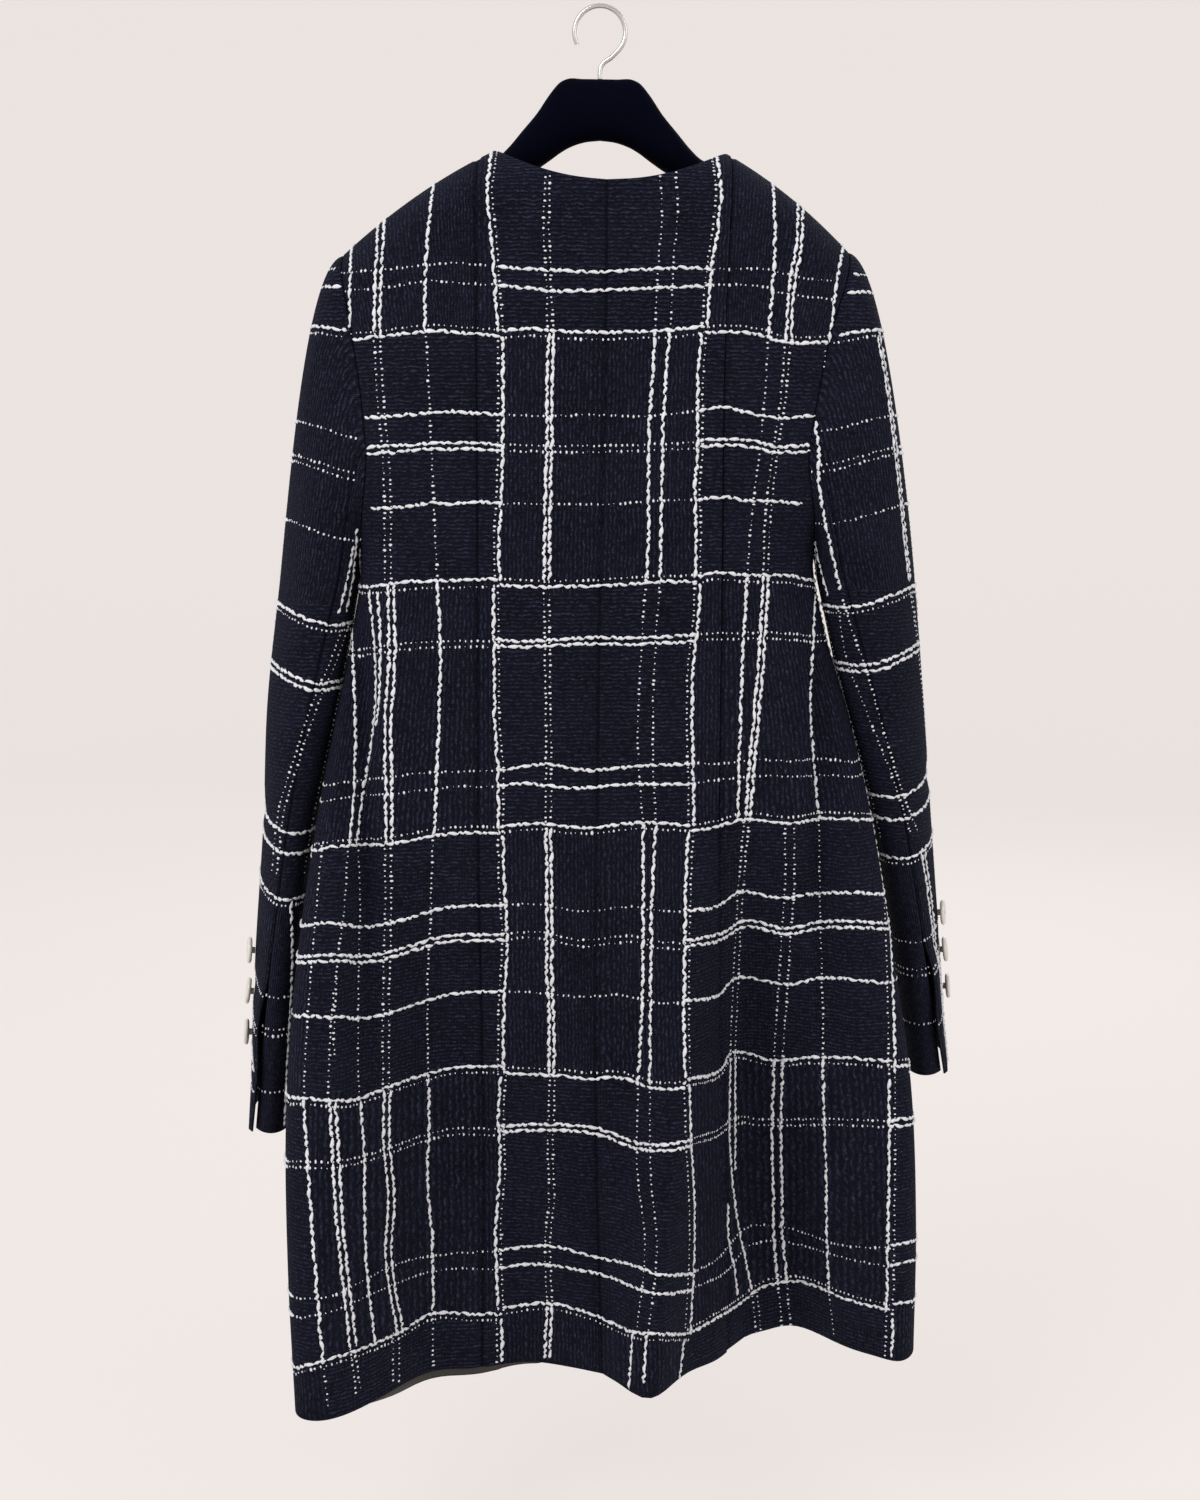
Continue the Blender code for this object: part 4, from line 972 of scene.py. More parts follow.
def row_drop(x, row, front):
    """Drop of a panel's row at an X. Rows 0 to 1 are above the underarm, 1 to 2 below it."""
    top = length_at(x, neck_drop(x, front))
    underarm = length_at(x, np.full(np.shape(x), UNDERARM_DROP))
    upper = drop_at(x, top + np.minimum(row, 1) * (underarm - top))
    lower = UNDERARM_DROP + (row - 1) * (HEM_DROP - UNDERARM_DROP)
    return np.where(row < 1, upper, lower)


def body_at(angle, drop):
    """Point on the outside of the body cloth at an angle and a drop."""
    x = ring_x(angle, drop)
    roll = np.clip(length_at(x, drop) / ROLL_LENGTH, 0, 1) * math.pi / 2
    rest = ridge_y(x)
    y = rest + (ring_y(angle, drop) - rest) * np.sin(roll)
    return np.stack([x, y, -np.asarray(drop, float)], axis=-1)


def body_point(angle, row, front):
    """Point on the outside of the body cloth at an angle and a panel's row."""
    angle = np.asarray(angle, float)
    row = np.broadcast_to(np.asarray(row, float), angle.shape)
    drop = np.full(angle.shape, UNDERARM_DROP / 2)
    for _ in range(SETTLE_ROUNDS):
        x = ring_x(angle, drop)
        drop = row_drop(x, row, front)
    return body_at(angle, drop)


def armhole_angle(side, front, drop):
    """Angle of the armhole's edge, or of the side seam below it."""
    name = ("front_" if front else "back_") + side
    x = table_value(ARMHOLES, ARMHOLE_COLUMNS, name, drop)
    edge = np.abs(angle_at(x, drop))
    turned = np.clip((drop - ARMHOLE_TURN_DROP) / (UNDERARM_DROP - ARMHOLE_TURN_DROP), 0, 1)
    quarter = math.pi / 2
    return quarter - (quarter - edge) * np.sqrt(1 - turned**2)


def seam_angle(name, drop):
    return angle_at(table_value(SEAMS, SEAM_COLUMNS, name, drop), drop)


def edge_angle(edge, side, front, row):
    """Angle of a panel's edge at a row, for the back; the front mirrors it."""
    drop = np.full(np.shape(row), UNDERARM_DROP / 2)
    for _ in range(SETTLE_ROUNDS):
        if edge == "armhole":
            angle = SIDES[side] * armhole_angle(side, front, drop)
        else:
            angle = seam_angle(edge, drop)
        drop = row_drop(ring_x(angle, drop), row, front)
    return angle


def to_front(angle, side):
    return SIDES[side] * math.pi - angle


def panel_rows():
    lower = 1 + np.arange(1, LOWER_ROW_COUNT + 1) / LOWER_ROW_COUNT
    return finer(np.concatenate([UPPER_ROWS, lower]))


def surface_normals(point_at, first, second):
    """Unit normals of a surface, from its slopes."""
    along = point_at(first + SLOPE_STEP, second) - point_at(first - SLOPE_STEP, second)
    down = point_at(first, second + SLOPE_STEP) - point_at(first, second - SLOPE_STEP)
    return unit(np.cross(along, down))


def body_grid(side, front, edges, fractions):
    """Outer points and unit normals of a body panel between two edges."""
    rows = panel_rows()

    def point_at(fraction, row):
        first = edge_angle(edges[0], side, front, row)
        last = edge_angle(edges[1], side, front, row)
        angle = first + (last - first) * fraction
        if front:
            angle = to_front(angle, side)
        return body_point(angle, row, front)

    fraction, row = np.meshgrid(fractions, rows)
    points = point_at(fraction, row)
    normals = surface_normals(point_at, fraction, row)
    outwards = outward_sign(points, normals)
    return points, normals * outwards


def outward_sign(points, normals):
    """1 if the normals point away from the middle of the points' ring, else -1."""
    half = len(points) // 2
    middle = np.array([0.0, 0.0, points[half, :, 2].mean()])
    return np.sign(((points[half] - middle) * normals[half]).sum())


def armhole_points(side, share):
    """Points of the armhole: share 0 at the shoulder, -1 and 1 down the back and the front."""
    share = np.asarray(share, float)
    rows = np.abs(share)
    back = body_point(edge_angle("armhole", side, False, rows), rows, False)
    front_angle = to_front(edge_angle("armhole", side, True, rows), side)
    front = body_point(front_angle, rows, True)
    return np.where(share[..., None] <= 0, back, front)


def sleeve_bearing(side, share):
    """Where a thread from the armhole lies round the arm: 0 at the rear, 90 degrees outside."""
    steps = np.linspace(0, 1, ARMHOLE_STEPS) ** 0.5
    bearing = np.zeros(np.shape(share))
    for way in (-1, 1):
        run = armhole_points(side, way * steps)
        lengths = np.linalg.norm(np.diff(run, axis=0), axis=1)
        travelled = np.concatenate([[0], np.cumsum(lengths)]) / lengths.sum()
        along = np.interp(np.abs(share), steps, travelled)
        bearing = np.where(share * way >= 0, math.pi / 2 + way * math.pi * along, bearing)
    return bearing


def sleeve_middle(side, drop):
    """X and Y of a sleeve's middle at a drop."""
    return [table_value(SLEEVES[side], SLEEVE_COLUMNS, name, drop) for name in "xy"]


def sleeve_ring(side, bearing, drop):
    """Points round a sleeve at a drop, by the bearing of their threads."""
    rows = SLEEVES[side]
    middle_x, middle_y = sleeve_middle(side, drop)
    half_x = table_value(rows, SLEEVE_COLUMNS, "half_x", drop)
    half_y = table_value(rows, SLEEVE_COLUMNS, "half_y", drop)
    turned = bearing + np.radians(table_value(rows, SLEEVE_COLUMNS, "turn", drop))
    around = math.pi / 360 * (half_x + half_y)
    inwards = sleeve_crease(side, np.degrees(turned), drop, around)
    half_x, half_y = half_x - inwards, half_y - inwards
    y = middle_y - half_y * np.cos(turned)
    x = middle_x + SIDES[side] * (half_x * np.sin(turned) + SLEEVE_SKEW * (y - middle_y))
    return np.stack([x, y, -np.broadcast_to(drop, x.shape)], axis=-1)


def sleeve_point(side, share, row):
    """Point on the outside of a sleeve. Rows 0 to 1 are the cap, 1 to 2 the arm."""
    share, row = np.broadcast_arrays(np.asarray(share, float), np.asarray(row, float))
    sign = SIDES[side]
    top_drop = SLEEVES[side][0][0]
    cuff_drop = SLEEVES[side][-1][0]
    bearing = sleeve_bearing(side, share)
    start = armhole_points(side, share)
    end = sleeve_ring(side, bearing, np.full(share.shape, float(top_drop)))
    next_down = sleeve_ring(side, bearing, np.full(share.shape, top_drop + 1.0))
    shoulder = armhole_points(side, np.array([0.0]))[0, 2]
    height = ((start[..., 2] + UNDERARM_DROP) / (shoulder + UNDERARM_DROP))[..., None]
    leave = height * CAP_REACH * np.array([sign, 0, -CAP_SLOPE])
    leave = leave + (1 - height) * UNDERARM_REACH * np.array([sign * UNDERARM_SPREAD, 0, -1])
    arrive = (next_down - end) * (height * CAP_FALL + (1 - height) * UNDERARM_REACH)
    t = np.clip(row, 0, 1)[..., None]
    cap = (
        start * (1 + 2 * t) * (1 - t) ** 2
        + end * t**2 * (3 - 2 * t)
        + leave * t * (1 - t) ** 2
        - arrive * t**2 * (1 - t)
    )
    drop = top_drop + (np.maximum(row, 1) - 1) * (cuff_drop - top_drop)
    return np.where((row < 1)[..., None], cap, sleeve_ring(side, bearing, drop))


def sleeve_rows():
    cap = np.linspace(0, 1, CAP_ROW_COUNT + 1) ** CAP_CROWDING
    arm = 1 + np.arange(1, SLEEVE_ROW_COUNT + 1) / SLEEVE_ROW_COUNT
    return finer(np.concatenate([cap, arm]))


def sleeve_shares(upper):
    back = -finer(UPPER_ROWS)
    front = finer(UPPER_ROWS)
    rear_seam, front_seam = REAR_SEAM_ROW * FINER, FRONT_SEAM_ROW * FINER
    if upper:
        return np.concatenate([back[rear_seam::-1], front[1 : front_seam + 1]])
    return np.concatenate([front[front_seam:], back[rear_seam:-1][::-1]])


def sleeve_grid(side, shares):
    row, share = np.meshgrid(sleeve_rows(), shares, indexing="ij")

    def point_at(share_step, row_at):
        return sleeve_point(side, step_round(share, share_step), row_at)

    points = sleeve_point(side, share, row)
    along = point_at(SLOPE_STEP, row) - point_at(-SLOPE_STEP, row)
    down = point_at(0, row + SLOPE_STEP) - point_at(0, np.maximum(row - SLOPE_STEP, 0))
    normals = unit(np.cross(along, down))
    middle = np.array([*sleeve_middle(side, -points[-1, 0, 2]), points[-1, 0, 2]])
    outwards = np.sign(((points[-1] - middle) * normals[-1]).sum())
    return points, normals * outwards


def step_round(share, step):
    """A share moved round the armhole, past the shoulder or the underarm."""
    moved = share + step
    return np.where(moved > 1, moved - 2, np.where(moved < -1, moved + 2, moved))


def mitre(first, second):
    """The way in from a seam where two cloths meet at an angle, scaled for one wall of depth."""
    both = first + second
    scale = 2 / (both * both).sum(axis=-1, keepdims=True)
    return both * np.minimum(scale, MITRE_LIMIT)


def armhole_ways_in(side):
    """For each armhole share, the way in that the body and the sleeve both use."""
    ways = {}
    for front in (False, True):
        rows = finer(UPPER_ROWS)
        sign = 1 if front else -1
        edges = ("centre", "armhole")
        _, body_normals = body_grid(side, front, edges, np.array([1.0]))
        _, sleeve_normals = sleeve_grid(side, sign * rows)
        for index, row in enumerate(rows):
            ways[sign * row] = mitre(body_normals[index, 0], sleeve_normals[0, index])
    return ways


def crease_depth(names, row, across, drop, scale=1.0):
    """How deep a crease is at a place: full along its middle and gone at its two ends."""
    crease = dict(zip(names, row))
    run = (crease["across1"] - crease["across0"]) * scale
    fall = crease["drop1"] - crease["drop0"]
    length = np.hypot(run, fall)
    beyond, below = (across - crease["across0"]) * scale, drop - crease["drop0"]
    part = (beyond * run + below * fall) / length**2
    aside = (beyond * fall - below * run) / length
    fade = np.sin(math.pi * np.clip(part, 0, 1)) ** CREASE_FADE
    return crease["depth"] * fade * np.exp(-((aside / crease["width"]) ** 2))


def crease_shift(x, backness, drop):
    """How far the body's creases move the cloth in, along Y."""
    shift = np.zeros(np.broadcast(x, drop).shape)
    for row in CREASES:
        amount = crease_depth(CREASE_COLUMNS, row, x, drop)
        shift = shift + (amount * backness if row[-1] == "back" else -amount * (1 - backness))
    return shift


def sleeve_crease(side, bearing, drop, around):
    """How far in a sleeve's creases are. Around is mm for each degree of bearing."""
    inwards = np.zeros(np.broadcast(bearing, drop).shape)
    for row in SLEEVE_CREASES[side]:
        for turn in (0, 360):
            inwards = inwards + crease_depth(
                SLEEVE_CREASE_COLUMNS, row, bearing - turn, drop, around
            )
    return inwards * smooth_step((drop - CREASE_START_DROP) / CREASE_START_RUN)


def shell(name, points, ways_in, seams, finish, wall=WALL):
    """A closed wall between a grid of outer points and the same grid moved in."""
    inner = points - wall * ways_in
    skins = []
    for skin in (points, inner):
        moved = skin.copy()
        if skin is points:
            moved[:, [0, -1]] -= SEAM_SINK * ways_in[:, [0, -1]]
        if "first" in seams:
            moved[:, 0] += step_to(skin[:, 0], skin[:, 1])
        if "last" in seams:
            moved[:, -1] += step_to(skin[:, -1], skin[:, -2])
        if "top" in seams or "shoulder" in seams:
            first = 0 if "top" in seams else (CENTRE_COLUMN_COUNT - 1) * FINER
            moved[0, first:] += step_to(skin[0, first:], skin[1, first:])
        skins.append(moved)
    return closed_grid(name, skins[0], skins[1], finish)


def step_to(start, end):
    """Half of a seam's opening, towards the next points in."""
    return unit(end - start) * SEAM_OPEN / 2


def along_columns(points):
    """Distance down each column of a grid."""
    steps = np.linalg.norm(np.diff(points, axis=0), axis=-1)
    return np.concatenate([np.zeros((1, points.shape[1])), np.cumsum(steps, axis=0)])


def along_rows(points):
    """Distance along each row of a grid."""
    return along_columns(points.swapaxes(0, 1)).T


def weave_map(name, outer):
    """Across and down the cloth in metres. The ribs that run across stay level."""
    across = along_rows(outer)
    across = np.broadcast_to(across[len(across) // 2], across.shape)
    down = -outer[..., 2]
    if not name.startswith("sleeve"):
        down = length_at(outer[..., 0], down) + ridge_drop(outer[..., 0])
    return np.stack([across, down], axis=-1).reshape(-1, 2) * METRES


def grid_faces(numbers):
    """The quads of a grid of numbered points."""
    corners = [numbers[:-1, :-1], numbers[1:, :-1], numbers[1:, 1:], numbers[:-1, 1:]]
    return np.stack(corners, axis=-1).reshape(-1, 4)


def tube_faces(count, sides, start=0):
    """The quads between rings of points, each ring closed."""
    numbers = np.arange(start, start + count * sides).reshape(count, sides)
    following = np.roll(numbers, -1, axis=1)
    corners = [numbers[:-1], following[:-1], following[1:], numbers[1:]]
    return np.stack(corners, axis=-1).reshape(-1, 4)


def closed_grid(name, outer, inner, finish):
    """A closed mesh of two matching grids, joined round their rims, with the cloth's own map."""
    rows, columns = outer.shape[:2]
    count = rows * columns
    numbers = np.arange(count).reshape(rows, columns)
    quads = grid_faces(numbers)
    rim = np.concatenate([numbers[0], numbers[1:, -1], numbers[-1, -2::-1], numbers[-2:0:-1, 0]])
    following = np.roll(rim, -1)
    edge = np.stack([rim, following, following + count, rim + count], axis=-1)
    faces = np.concatenate([quads, quads[:, ::-1] + count, edge])
    vertices = np.concatenate([outer.reshape(-1, 3), inner.reshape(-1, 3)])
    thing = smooth_mesh(name, vertices, faces, finish)
    add_map(thing, "weave", weave_map(name, outer))
    return thing


def smooth_mesh(name, vertices, faces, finish):
    """A smooth mesh with its faces outwards, from points in mm."""
    mesh = bpy.data.meshes.new(name)
    faces = np.asarray(faces)
    mesh.vertices.add(len(vertices))
    mesh.vertices.foreach_set("co", (np.asarray(vertices) * METRES).astype(np.float32).ravel())
    mesh.loops.add(faces.size)
    mesh.loops.foreach_set("vertex_index", faces.astype(np.int32).ravel())
    mesh.polygons.add(len(faces))
    sides = faces.shape[1]
    mesh.polygons.foreach_set("loop_start", np.arange(len(faces), dtype=np.int32) * sides)
    mesh.update(calc_edges=True)
    if signed_volume(vertices, faces) < 0:
        mesh.flip_normals()
    mesh.polygons.foreach_set("use_smooth", np.ones(len(faces), bool))
    thing = bpy.data.objects.new(name, mesh)
    mesh.materials.append(finish)
    bpy.context.scene.collection.objects.link(thing)
    return thing


def signed_volume(vertices, faces):
    """Above 0 where a closed mesh's faces look outwards."""
    corners = np.asarray(vertices)[np.asarray(faces)]
    volume = 0.0
    for index in range(1, corners.shape[1] - 1):
        volume += (corners[:, 0] * np.cross(corners[:, index], corners[:, index + 1])).sum()
    return volume


def add_map(thing, name, values):
    """A place in a map for each point of a shell, the same on both of its skins."""
    values = np.tile(values, (2, 1))
    layer = thing.data.uv_layers.new(name=name)
    corners = np.empty(len(thing.data.loops), np.int32)
    thing.data.loops.foreach_get("vertex_index", corners)
    layer.data.foreach_set("uv", values[corners].astype(np.float32).ravel())


def add_values(thing, name, values):
    """A value for each point of a shell, the same on both of its skins."""
    layer = thing.data.attributes.new(name, "FLOAT", "POINT")
    layer.data.foreach_set("value", np.tile(values.ravel(), 2).astype(np.float32))


# Materials


def node(tree, kind, **values):
    """A new node, with values for its inputs or else its settings."""
    made = tree.nodes.new(kind)
    for name, value in values.items():
        if name in made.inputs:
            made.inputs[name].default_value = value
        else:
            setattr(made, name, value)
    return made


def link(tree, start, end):
    tree.links.new(start, end)


def math_node(tree, operation, first, second=None, third=None):
    """The outcome of a sum on numbers or other nodes' outputs."""
    made = tree.nodes.new("ShaderNodeMath")
    made.operation = operation
    for index, value in enumerate((first, second, third)):
        if value is None:
            continue
        if isinstance(value, (int, float)):
            made.inputs[index].default_value = value
        else:
            link(tree, value, made.inputs[index])
    return made.outputs[0]


def blank_material(name, looks):
    """A material whose shader is given the looks, by the names of its inputs."""
    made = bpy.data.materials.new(name)
    made.use_nodes = True
    shader = made.node_tree.nodes["Principled BSDF"]
    for look, value in looks.items():
        shader.inputs[look].default_value = value
    return made, made.node_tree, shader


def object_place(tree):
    return tree.nodes.new("ShaderNodeTexCoord").outputs["Object"]


def weave_chart(tree):
    return node(tree, "ShaderNodeUVMap", uv_map="weave").outputs["UV"]


def value_of(tree, name):
    return node(tree, "ShaderNodeAttribute", attribute_name=name).outputs["Fac"]


def ribs(tree, along, pitch):
    """Even ribs from 0 to 1 along a length."""
    wave = math_node(tree, "SINE", math_node(tree, "MULTIPLY", along, math.tau / pitch))
    return math_node(tree, "MULTIPLY_ADD", wave, 0.5, 0.5)


def either(tree, choice, first, second):
    """The first where the choice is 0, the second where it is 1."""
    made = tree.nodes.new("ShaderNodeMix")
    for index, value in enumerate((choice, None, first, second)):
        if value is not None:
            link(tree, value, made.inputs[index])
    return made.outputs[0]


def noise(tree, vector, scale, detail=2.0):
    made = node(tree, "ShaderNodeTexNoise", Scale=scale, Detail=detail)
    link(tree, vector, made.inputs["Vector"])
    return made.outputs["Fac"]


def mixed_colour(tree, share, first, second):
    ramp = tree.nodes.new("ShaderNodeValToRGB")
    ramp.color_ramp.elements[0].color = (*first, 1)
    ramp.color_ramp.elements[1].color = (*second, 1)
    link(tree, share, ramp.inputs["Fac"])
    return ramp.outputs["Color"]


def bump(tree, shader, height, distance, strength=1.0):
    made = node(tree, "ShaderNodeBump", Strength=strength, Distance=distance)
    link(tree, height, made.inputs["Height"])
    link(tree, made.outputs["Normal"], shader.inputs["Normal"])


def tweed_material():
    """Near-black slubby ribs that run along or across in turn, from block to block."""
    made, tree, shader = blank_material("tweed_ground", TWEED_SHADER)
    place = object_place(tree)
    split = tree.nodes.new("ShaderNodeSeparateXYZ")
    link(tree, weave_chart(tree), split.inputs["Vector"])
    across, down = split.outputs["X"], split.outputs["Y"]
    wander = math_node(tree, "SUBTRACT", noise(tree, place, RIB_WANDER_SCALE, detail=3.0), 0.5)
    wander = math_node(tree, "MULTIPLY", wander, RIB_WANDER)
    turn = math_node(tree, "GREATER_THAN", value_of(tree, "ribs_down"), 0.5)
    wandered = [math_node(tree, "ADD", way, wander) for way in (down, across)]
    wide = either(tree, turn, *(ribs(tree, way, RIB_PITCH) for way in wandered))
    fine = either(tree, turn, *(ribs(tree, way, FINE_PITCH) for way in (across, down)))
    slub = noise(tree, place, SLUB_SCALE, detail=4.0)
    patch = noise(tree, place, PATCH_SCALE, detail=3.0)
    lumps = math_node(tree, "SUBTRACT", noise(tree, place, LUMP_SCALE, detail=1.0), 0.5)
    lumps = math_node(tree, "MULTIPLY_ADD", lumps, LUMP_HEIGHT, 1.0)
    height = math_node(tree, "MULTIPLY", wide, lumps)
    height = math_node(tree, "MULTIPLY_ADD", fine, FINE_HEIGHT, height)
    height = math_node(tree, "MULTIPLY_ADD", slub, SLUB_HEIGHT, height)
    # The colour follows the relief's height: painted shade in the grooves, over the ribs' own tone,
    # with patches of tone at random
    share = math_node(tree, "MULTIPLY", height, GROUND_GAIN)
    share = math_node(tree, "POWER", share, GROUND_CONTRAST)
    share = math_node(tree, "MULTIPLY_ADD", patch, PATCH_SHARE, share)
    # Painted shade at the seams: the colour darkens towards each panel's side edge
    beside = math_node(tree, "MULTIPLY", value_of(tree, "from_seam"), 1 / SEAM_PAINTED_SHADE)
    share = math_node(tree, "MULTIPLY", share, math_node(tree, "MINIMUM", beside, 1.0))
    link(tree, mixed_colour(tree, share, GROUND_DARK, GROUND_LIGHT), shader.inputs["Base Color"])
    bump(tree, shader, height, GROUND_RELIEF)
    return made


def yarn_material():
    """White, faintly blue slub yarn, mottled greyer by noise: partly its own uneven tone, partly
    painted shade for its hollows.
    """
    made, tree, shader = blank_material("check_yarn", YARN_SHADER)
    place = object_place(tree)
    fibre = noise(tree, place, YARN_FIBRE_SCALE, detail=3.0)
    patch = math_node(tree, "MULTIPLY", noise(tree, place, YARN_PATCH_SCALE), YARN_PATCH_SHARE)
    share = math_node(tree, "MULTIPLY_ADD", fibre, YARN_FIBRE_SHARE, patch)
    # The grey end of the mottle: painted shade for the yarn's hollows, over its own uneven tone
    dark = tuple(value * YARN_TONE_AND_SHADE for value in YARN_COLOUR)
    link(tree, mixed_colour(tree, share, dark, YARN_COLOUR), shader.inputs["Base Color"])
    bump(tree, shader, fibre, distance=0.0004, strength=0.8)
    return made


def plain_material(name):
    """A finish with a fine mottle and a soft relief, from its row of the table."""
    dark, light, looks, (scale, depth) = PLAIN_FINISHES[name]
    made, tree, shader = blank_material(name, looks)
    mottle = noise(tree, object_place(tree), scale, detail=4.0)
    link(tree, mixed_colour(tree, mottle, dark, light), shader.inputs["Base Color"])
    least = looks["Roughness"] - ROUGHNESS_SPREAD / 2
    rough = math_node(tree, "MULTIPLY_ADD", mottle, ROUGHNESS_SPREAD, least)
    link(tree, rough, shader.inputs["Roughness"])
    bump(tree, shader, mottle, depth, strength=0.5)
    return made


def lining_material():
    made, tree, shader = blank_material("lining_satin", LINING_SHADER)
    twill = node(tree, "ShaderNodeTexWave", **LINING_TWILL)
    link(tree, weave_chart(tree), twill.inputs["Vector"])
    lines = twill.outputs["Fac"]
    link(tree, mixed_colour(tree, lines, LINING_DARK, LINING_LIGHT), shader.inputs["Base Color"])
    bump(tree, shader, lines, distance=0.0002, strength=0.4)
    return made


# Cloth


def body_ways(side, front, edges, fractions, armhole_ways):
    """A body panel's points and ways in, those of the armhole shared with the sleeve."""
    points, ways = body_grid(side, front, edges, fractions)
    if edges[1] == "armhole":
        sign = 1 if front else -1
        for index, row in enumerate(finer(UPPER_ROWS)):
            ways[index, -1] = armhole_ways[sign * row]
    return points, ways


def top_angle(edge, side):
    return float(edge_angle(edge, side, False, np.array([0.0]))[0])


def centre_fractions(side):
    """Columns of a middle back panel, one of them at the neck point."""
    neck_x = NECK_CENTRE + SIDES[side] * NECK_HALF
    neck = float(angle_at(neck_x, ridge_drop(neck_x)))
    first = top_angle("centre", side)
    last = top_angle(side + "_princess", side)
    neck_share = (neck - first) / (last - first)
    across = 1 - (1 - np.linspace(0, 1, CENTRE_COLUMN_COUNT)) ** NECK_CROWDING
    return finer(np.append(neck_share * across, 1))


def front_fractions(side):
    """Columns of a front, which meet those of the back along the shoulder."""
    first = top_angle("centre", side)
    princess = top_angle(side + "_princess", side)
    last = top_angle("armhole", side)
    middle = first + (princess - first) * centre_fractions(side)
    outer = princess + (last - princess) * finer(np.linspace(0, 1, SIDE_COLUMN_COUNT))
    return (np.concatenate([middle, outer[1:]]) - first) / (last - first)


def charted(lines, name):
    """A charted line's pixels, all of its parts joined."""
    return np.array([pixel for _, part in lines[name] for pixel in part], float)


def seen_at(points):
    """Where points lie in the photograph."""
    way = points - np.array(CAMERA_PLACE)
    cos, sin = math.cos(CAMERA_TILT), math.sin(CAMERA_TILT)
    ahead = way[..., 1] * cos - way[..., 2] * sin
    below = -(way[..., 1] * sin + way[..., 2] * cos)
    across = IMAGE_SIZE[0] / 2 + FOCAL_PIXELS * way[..., 0] / ahead
    return across, IMAGE_SIZE[1] / 2 + FOCAL_PIXELS * below / ahead


def block_of(values, mains):
    """How many of the main lines each value is past."""
    return sum((np.asarray(values) > main).astype(int) for main in mains)


def ribs_down(name, points):
    """1 where the ground's ribs run down, worked out from the check's blocks."""
    if name.startswith("back"):
        x, y = seen_at(points)
        over = np.ones(x.shape)
        for row in DOTS_BELOW:
            pixels = charted(ROWS, row)
            order = np.argsort(pixels[:, 0])
            over += y > np.interp(x, pixels[order, 0], pixels[order, 1])
        for line in ("left outer", "left main", "right main"):
            pixels = charted(COLUMNS, line)
            over += x > np.interp(y, pixels[:, 1], pixels[:, 0])
        drop = np.clip(-points[..., 2], RIGHT_OUTER[0][0], HEM_DROP)
        over += points[..., 0] > table_value(RIGHT_OUTER, RIGHT_OUTER_COLUMNS, "x", drop)
        return (over + 1) % 2
    x, drop = points[..., 0], -points[..., 2]
    if name.startswith("sleeve"):
        return block_of(drop, SLEEVE_MAIN_DROPS[name.rsplit("_", 1)[1]]) % 2
    return (block_of(drop, MAIN_DROPS) + block_of(x, FRONT_COLUMNS["main"])) % 2


def cloth_piece(name, points, ways, seams, finish, wall=WALL):
    """A panel's shell, with what its finish needs to know at each point."""
    thing = shell(name + "_cloth", points, ways, seams, finish, wall)
    add_values(thing, "ribs_down", ribs_down(name, points))
    across = along_rows(points)
    # Distance to the nearer side edge, for the painted shade along the seams
    add_values(thing, "from_seam", np.minimum(across, across[:, -1:] - across))
    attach(thing, "root")
    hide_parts(name)
    return thing


def flat_size(points):
    """The cut of a panel: its width and length, and its area, in metres."""
    across = along_rows(points)[:, -1]
    down = along_columns(points)[-1]
    first = np.cross(points[1:, :-1] - points[:-1, :-1], points[:-1, 1:] - points[:-1, :-1])
    second = np.cross(points[1:, 1:] - points[1:, :-1], points[1:, 1:] - points[:-1, 1:])
    area = (np.linalg.norm(first, axis=-1).sum() + np.linalg.norm(second, axis=-1).sum()) / 2
    width, length = across.max() * METRES, down.max() * METRES
    least, most = LEAST_AREA_SHARE * width * length, width * length
    return (width, length), min(max(area * METRES**2, least), most)


def declare(thing, points, with_pieces=()):
    """Works out a piece's cut size and area, and lists what goes with it; it keeps neither."""
    flat, area = flat_size(points)
    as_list(with_pieces)


def open_vent(side, points, normals):
    """Lifts the upper sleeve's rear edge off the under sleeve near the cuff, and laps it over."""
    drop = -points[:, 0, 2]
    below = drop - (SLEEVES[side][-1][0] - VENT_HEIGHT)
    lift = VENT_LIFT * smooth_step(below / VENT_LIFT_RUN)
    lap = VENT_LAP * smooth_step((below - VENT_LAP_BELOW) / VENT_LIFT_RUN)
    moved = points.copy()
    outward = unit(points[:, 0] - points[:, 1])
    moved[:, 0] += lap[:, None] * outward
    shares = np.array([*VENT_LIFT_SHARES, 0.0])
    for index, share in enumerate(finer(shares)):
        moved[:, index] += share * lift[:, None] * normals[:, index]
        if index:
            fade = 1 - index / (FINER * len(VENT_LIFT_SHARES))
            moved[:, index] += (lap * fade)[:, None] * outward * VENT_LAP_SHARE
    return moved


def body_cloth(side, finish):
    """The three body panels of a side, and the ways in along its armhole."""
    ways = armhole_ways_in(side)
    princess = side + "_princess"
    outward = finer(np.linspace(0, 1, SIDE_COLUMN_COUNT))
    panels = {
        "back_centre_": (False, ("centre", princess), centre_fractions(side), "shoulder"),
        "back_side_": (False, (princess, "armhole"), outward, "top"),
        "front_": (True, ("centre", "armhole"), front_fractions(side), "shoulder"),
    }
    made = {}
    for name, (front, edges, fractions, top) in panels.items():
        points, ways_in = body_ways(side, front, edges, fractions, ways)
        thing = cloth_piece(name + side, points, ways_in, ("first", "last", top), finish)
        made[name + side] = (thing, points, ways_in)
    return ways, made


def sleeve_cloth(side, finish, armhole_ways):
    """The upper and the under sleeve of a side."""
    made = {}
    for upper in (True, False):
        shares = sleeve_shares(upper)
        points, ways_in = sleeve_grid(side, shares)
        for index, share in enumerate(shares):
            ways_in[0, index] = armhole_ways[-1 if abs(share) == 1 else share]
        if upper:
            points = open_vent(side, points, ways_in)
        name = ("sleeve_upper_" if upper else "sleeve_under_") + side
        thing = cloth_piece(name, points, ways_in, ("first", "last", "top"), finish)
        made[name] = (thing, points, ways_in)
    return made


# Yarns


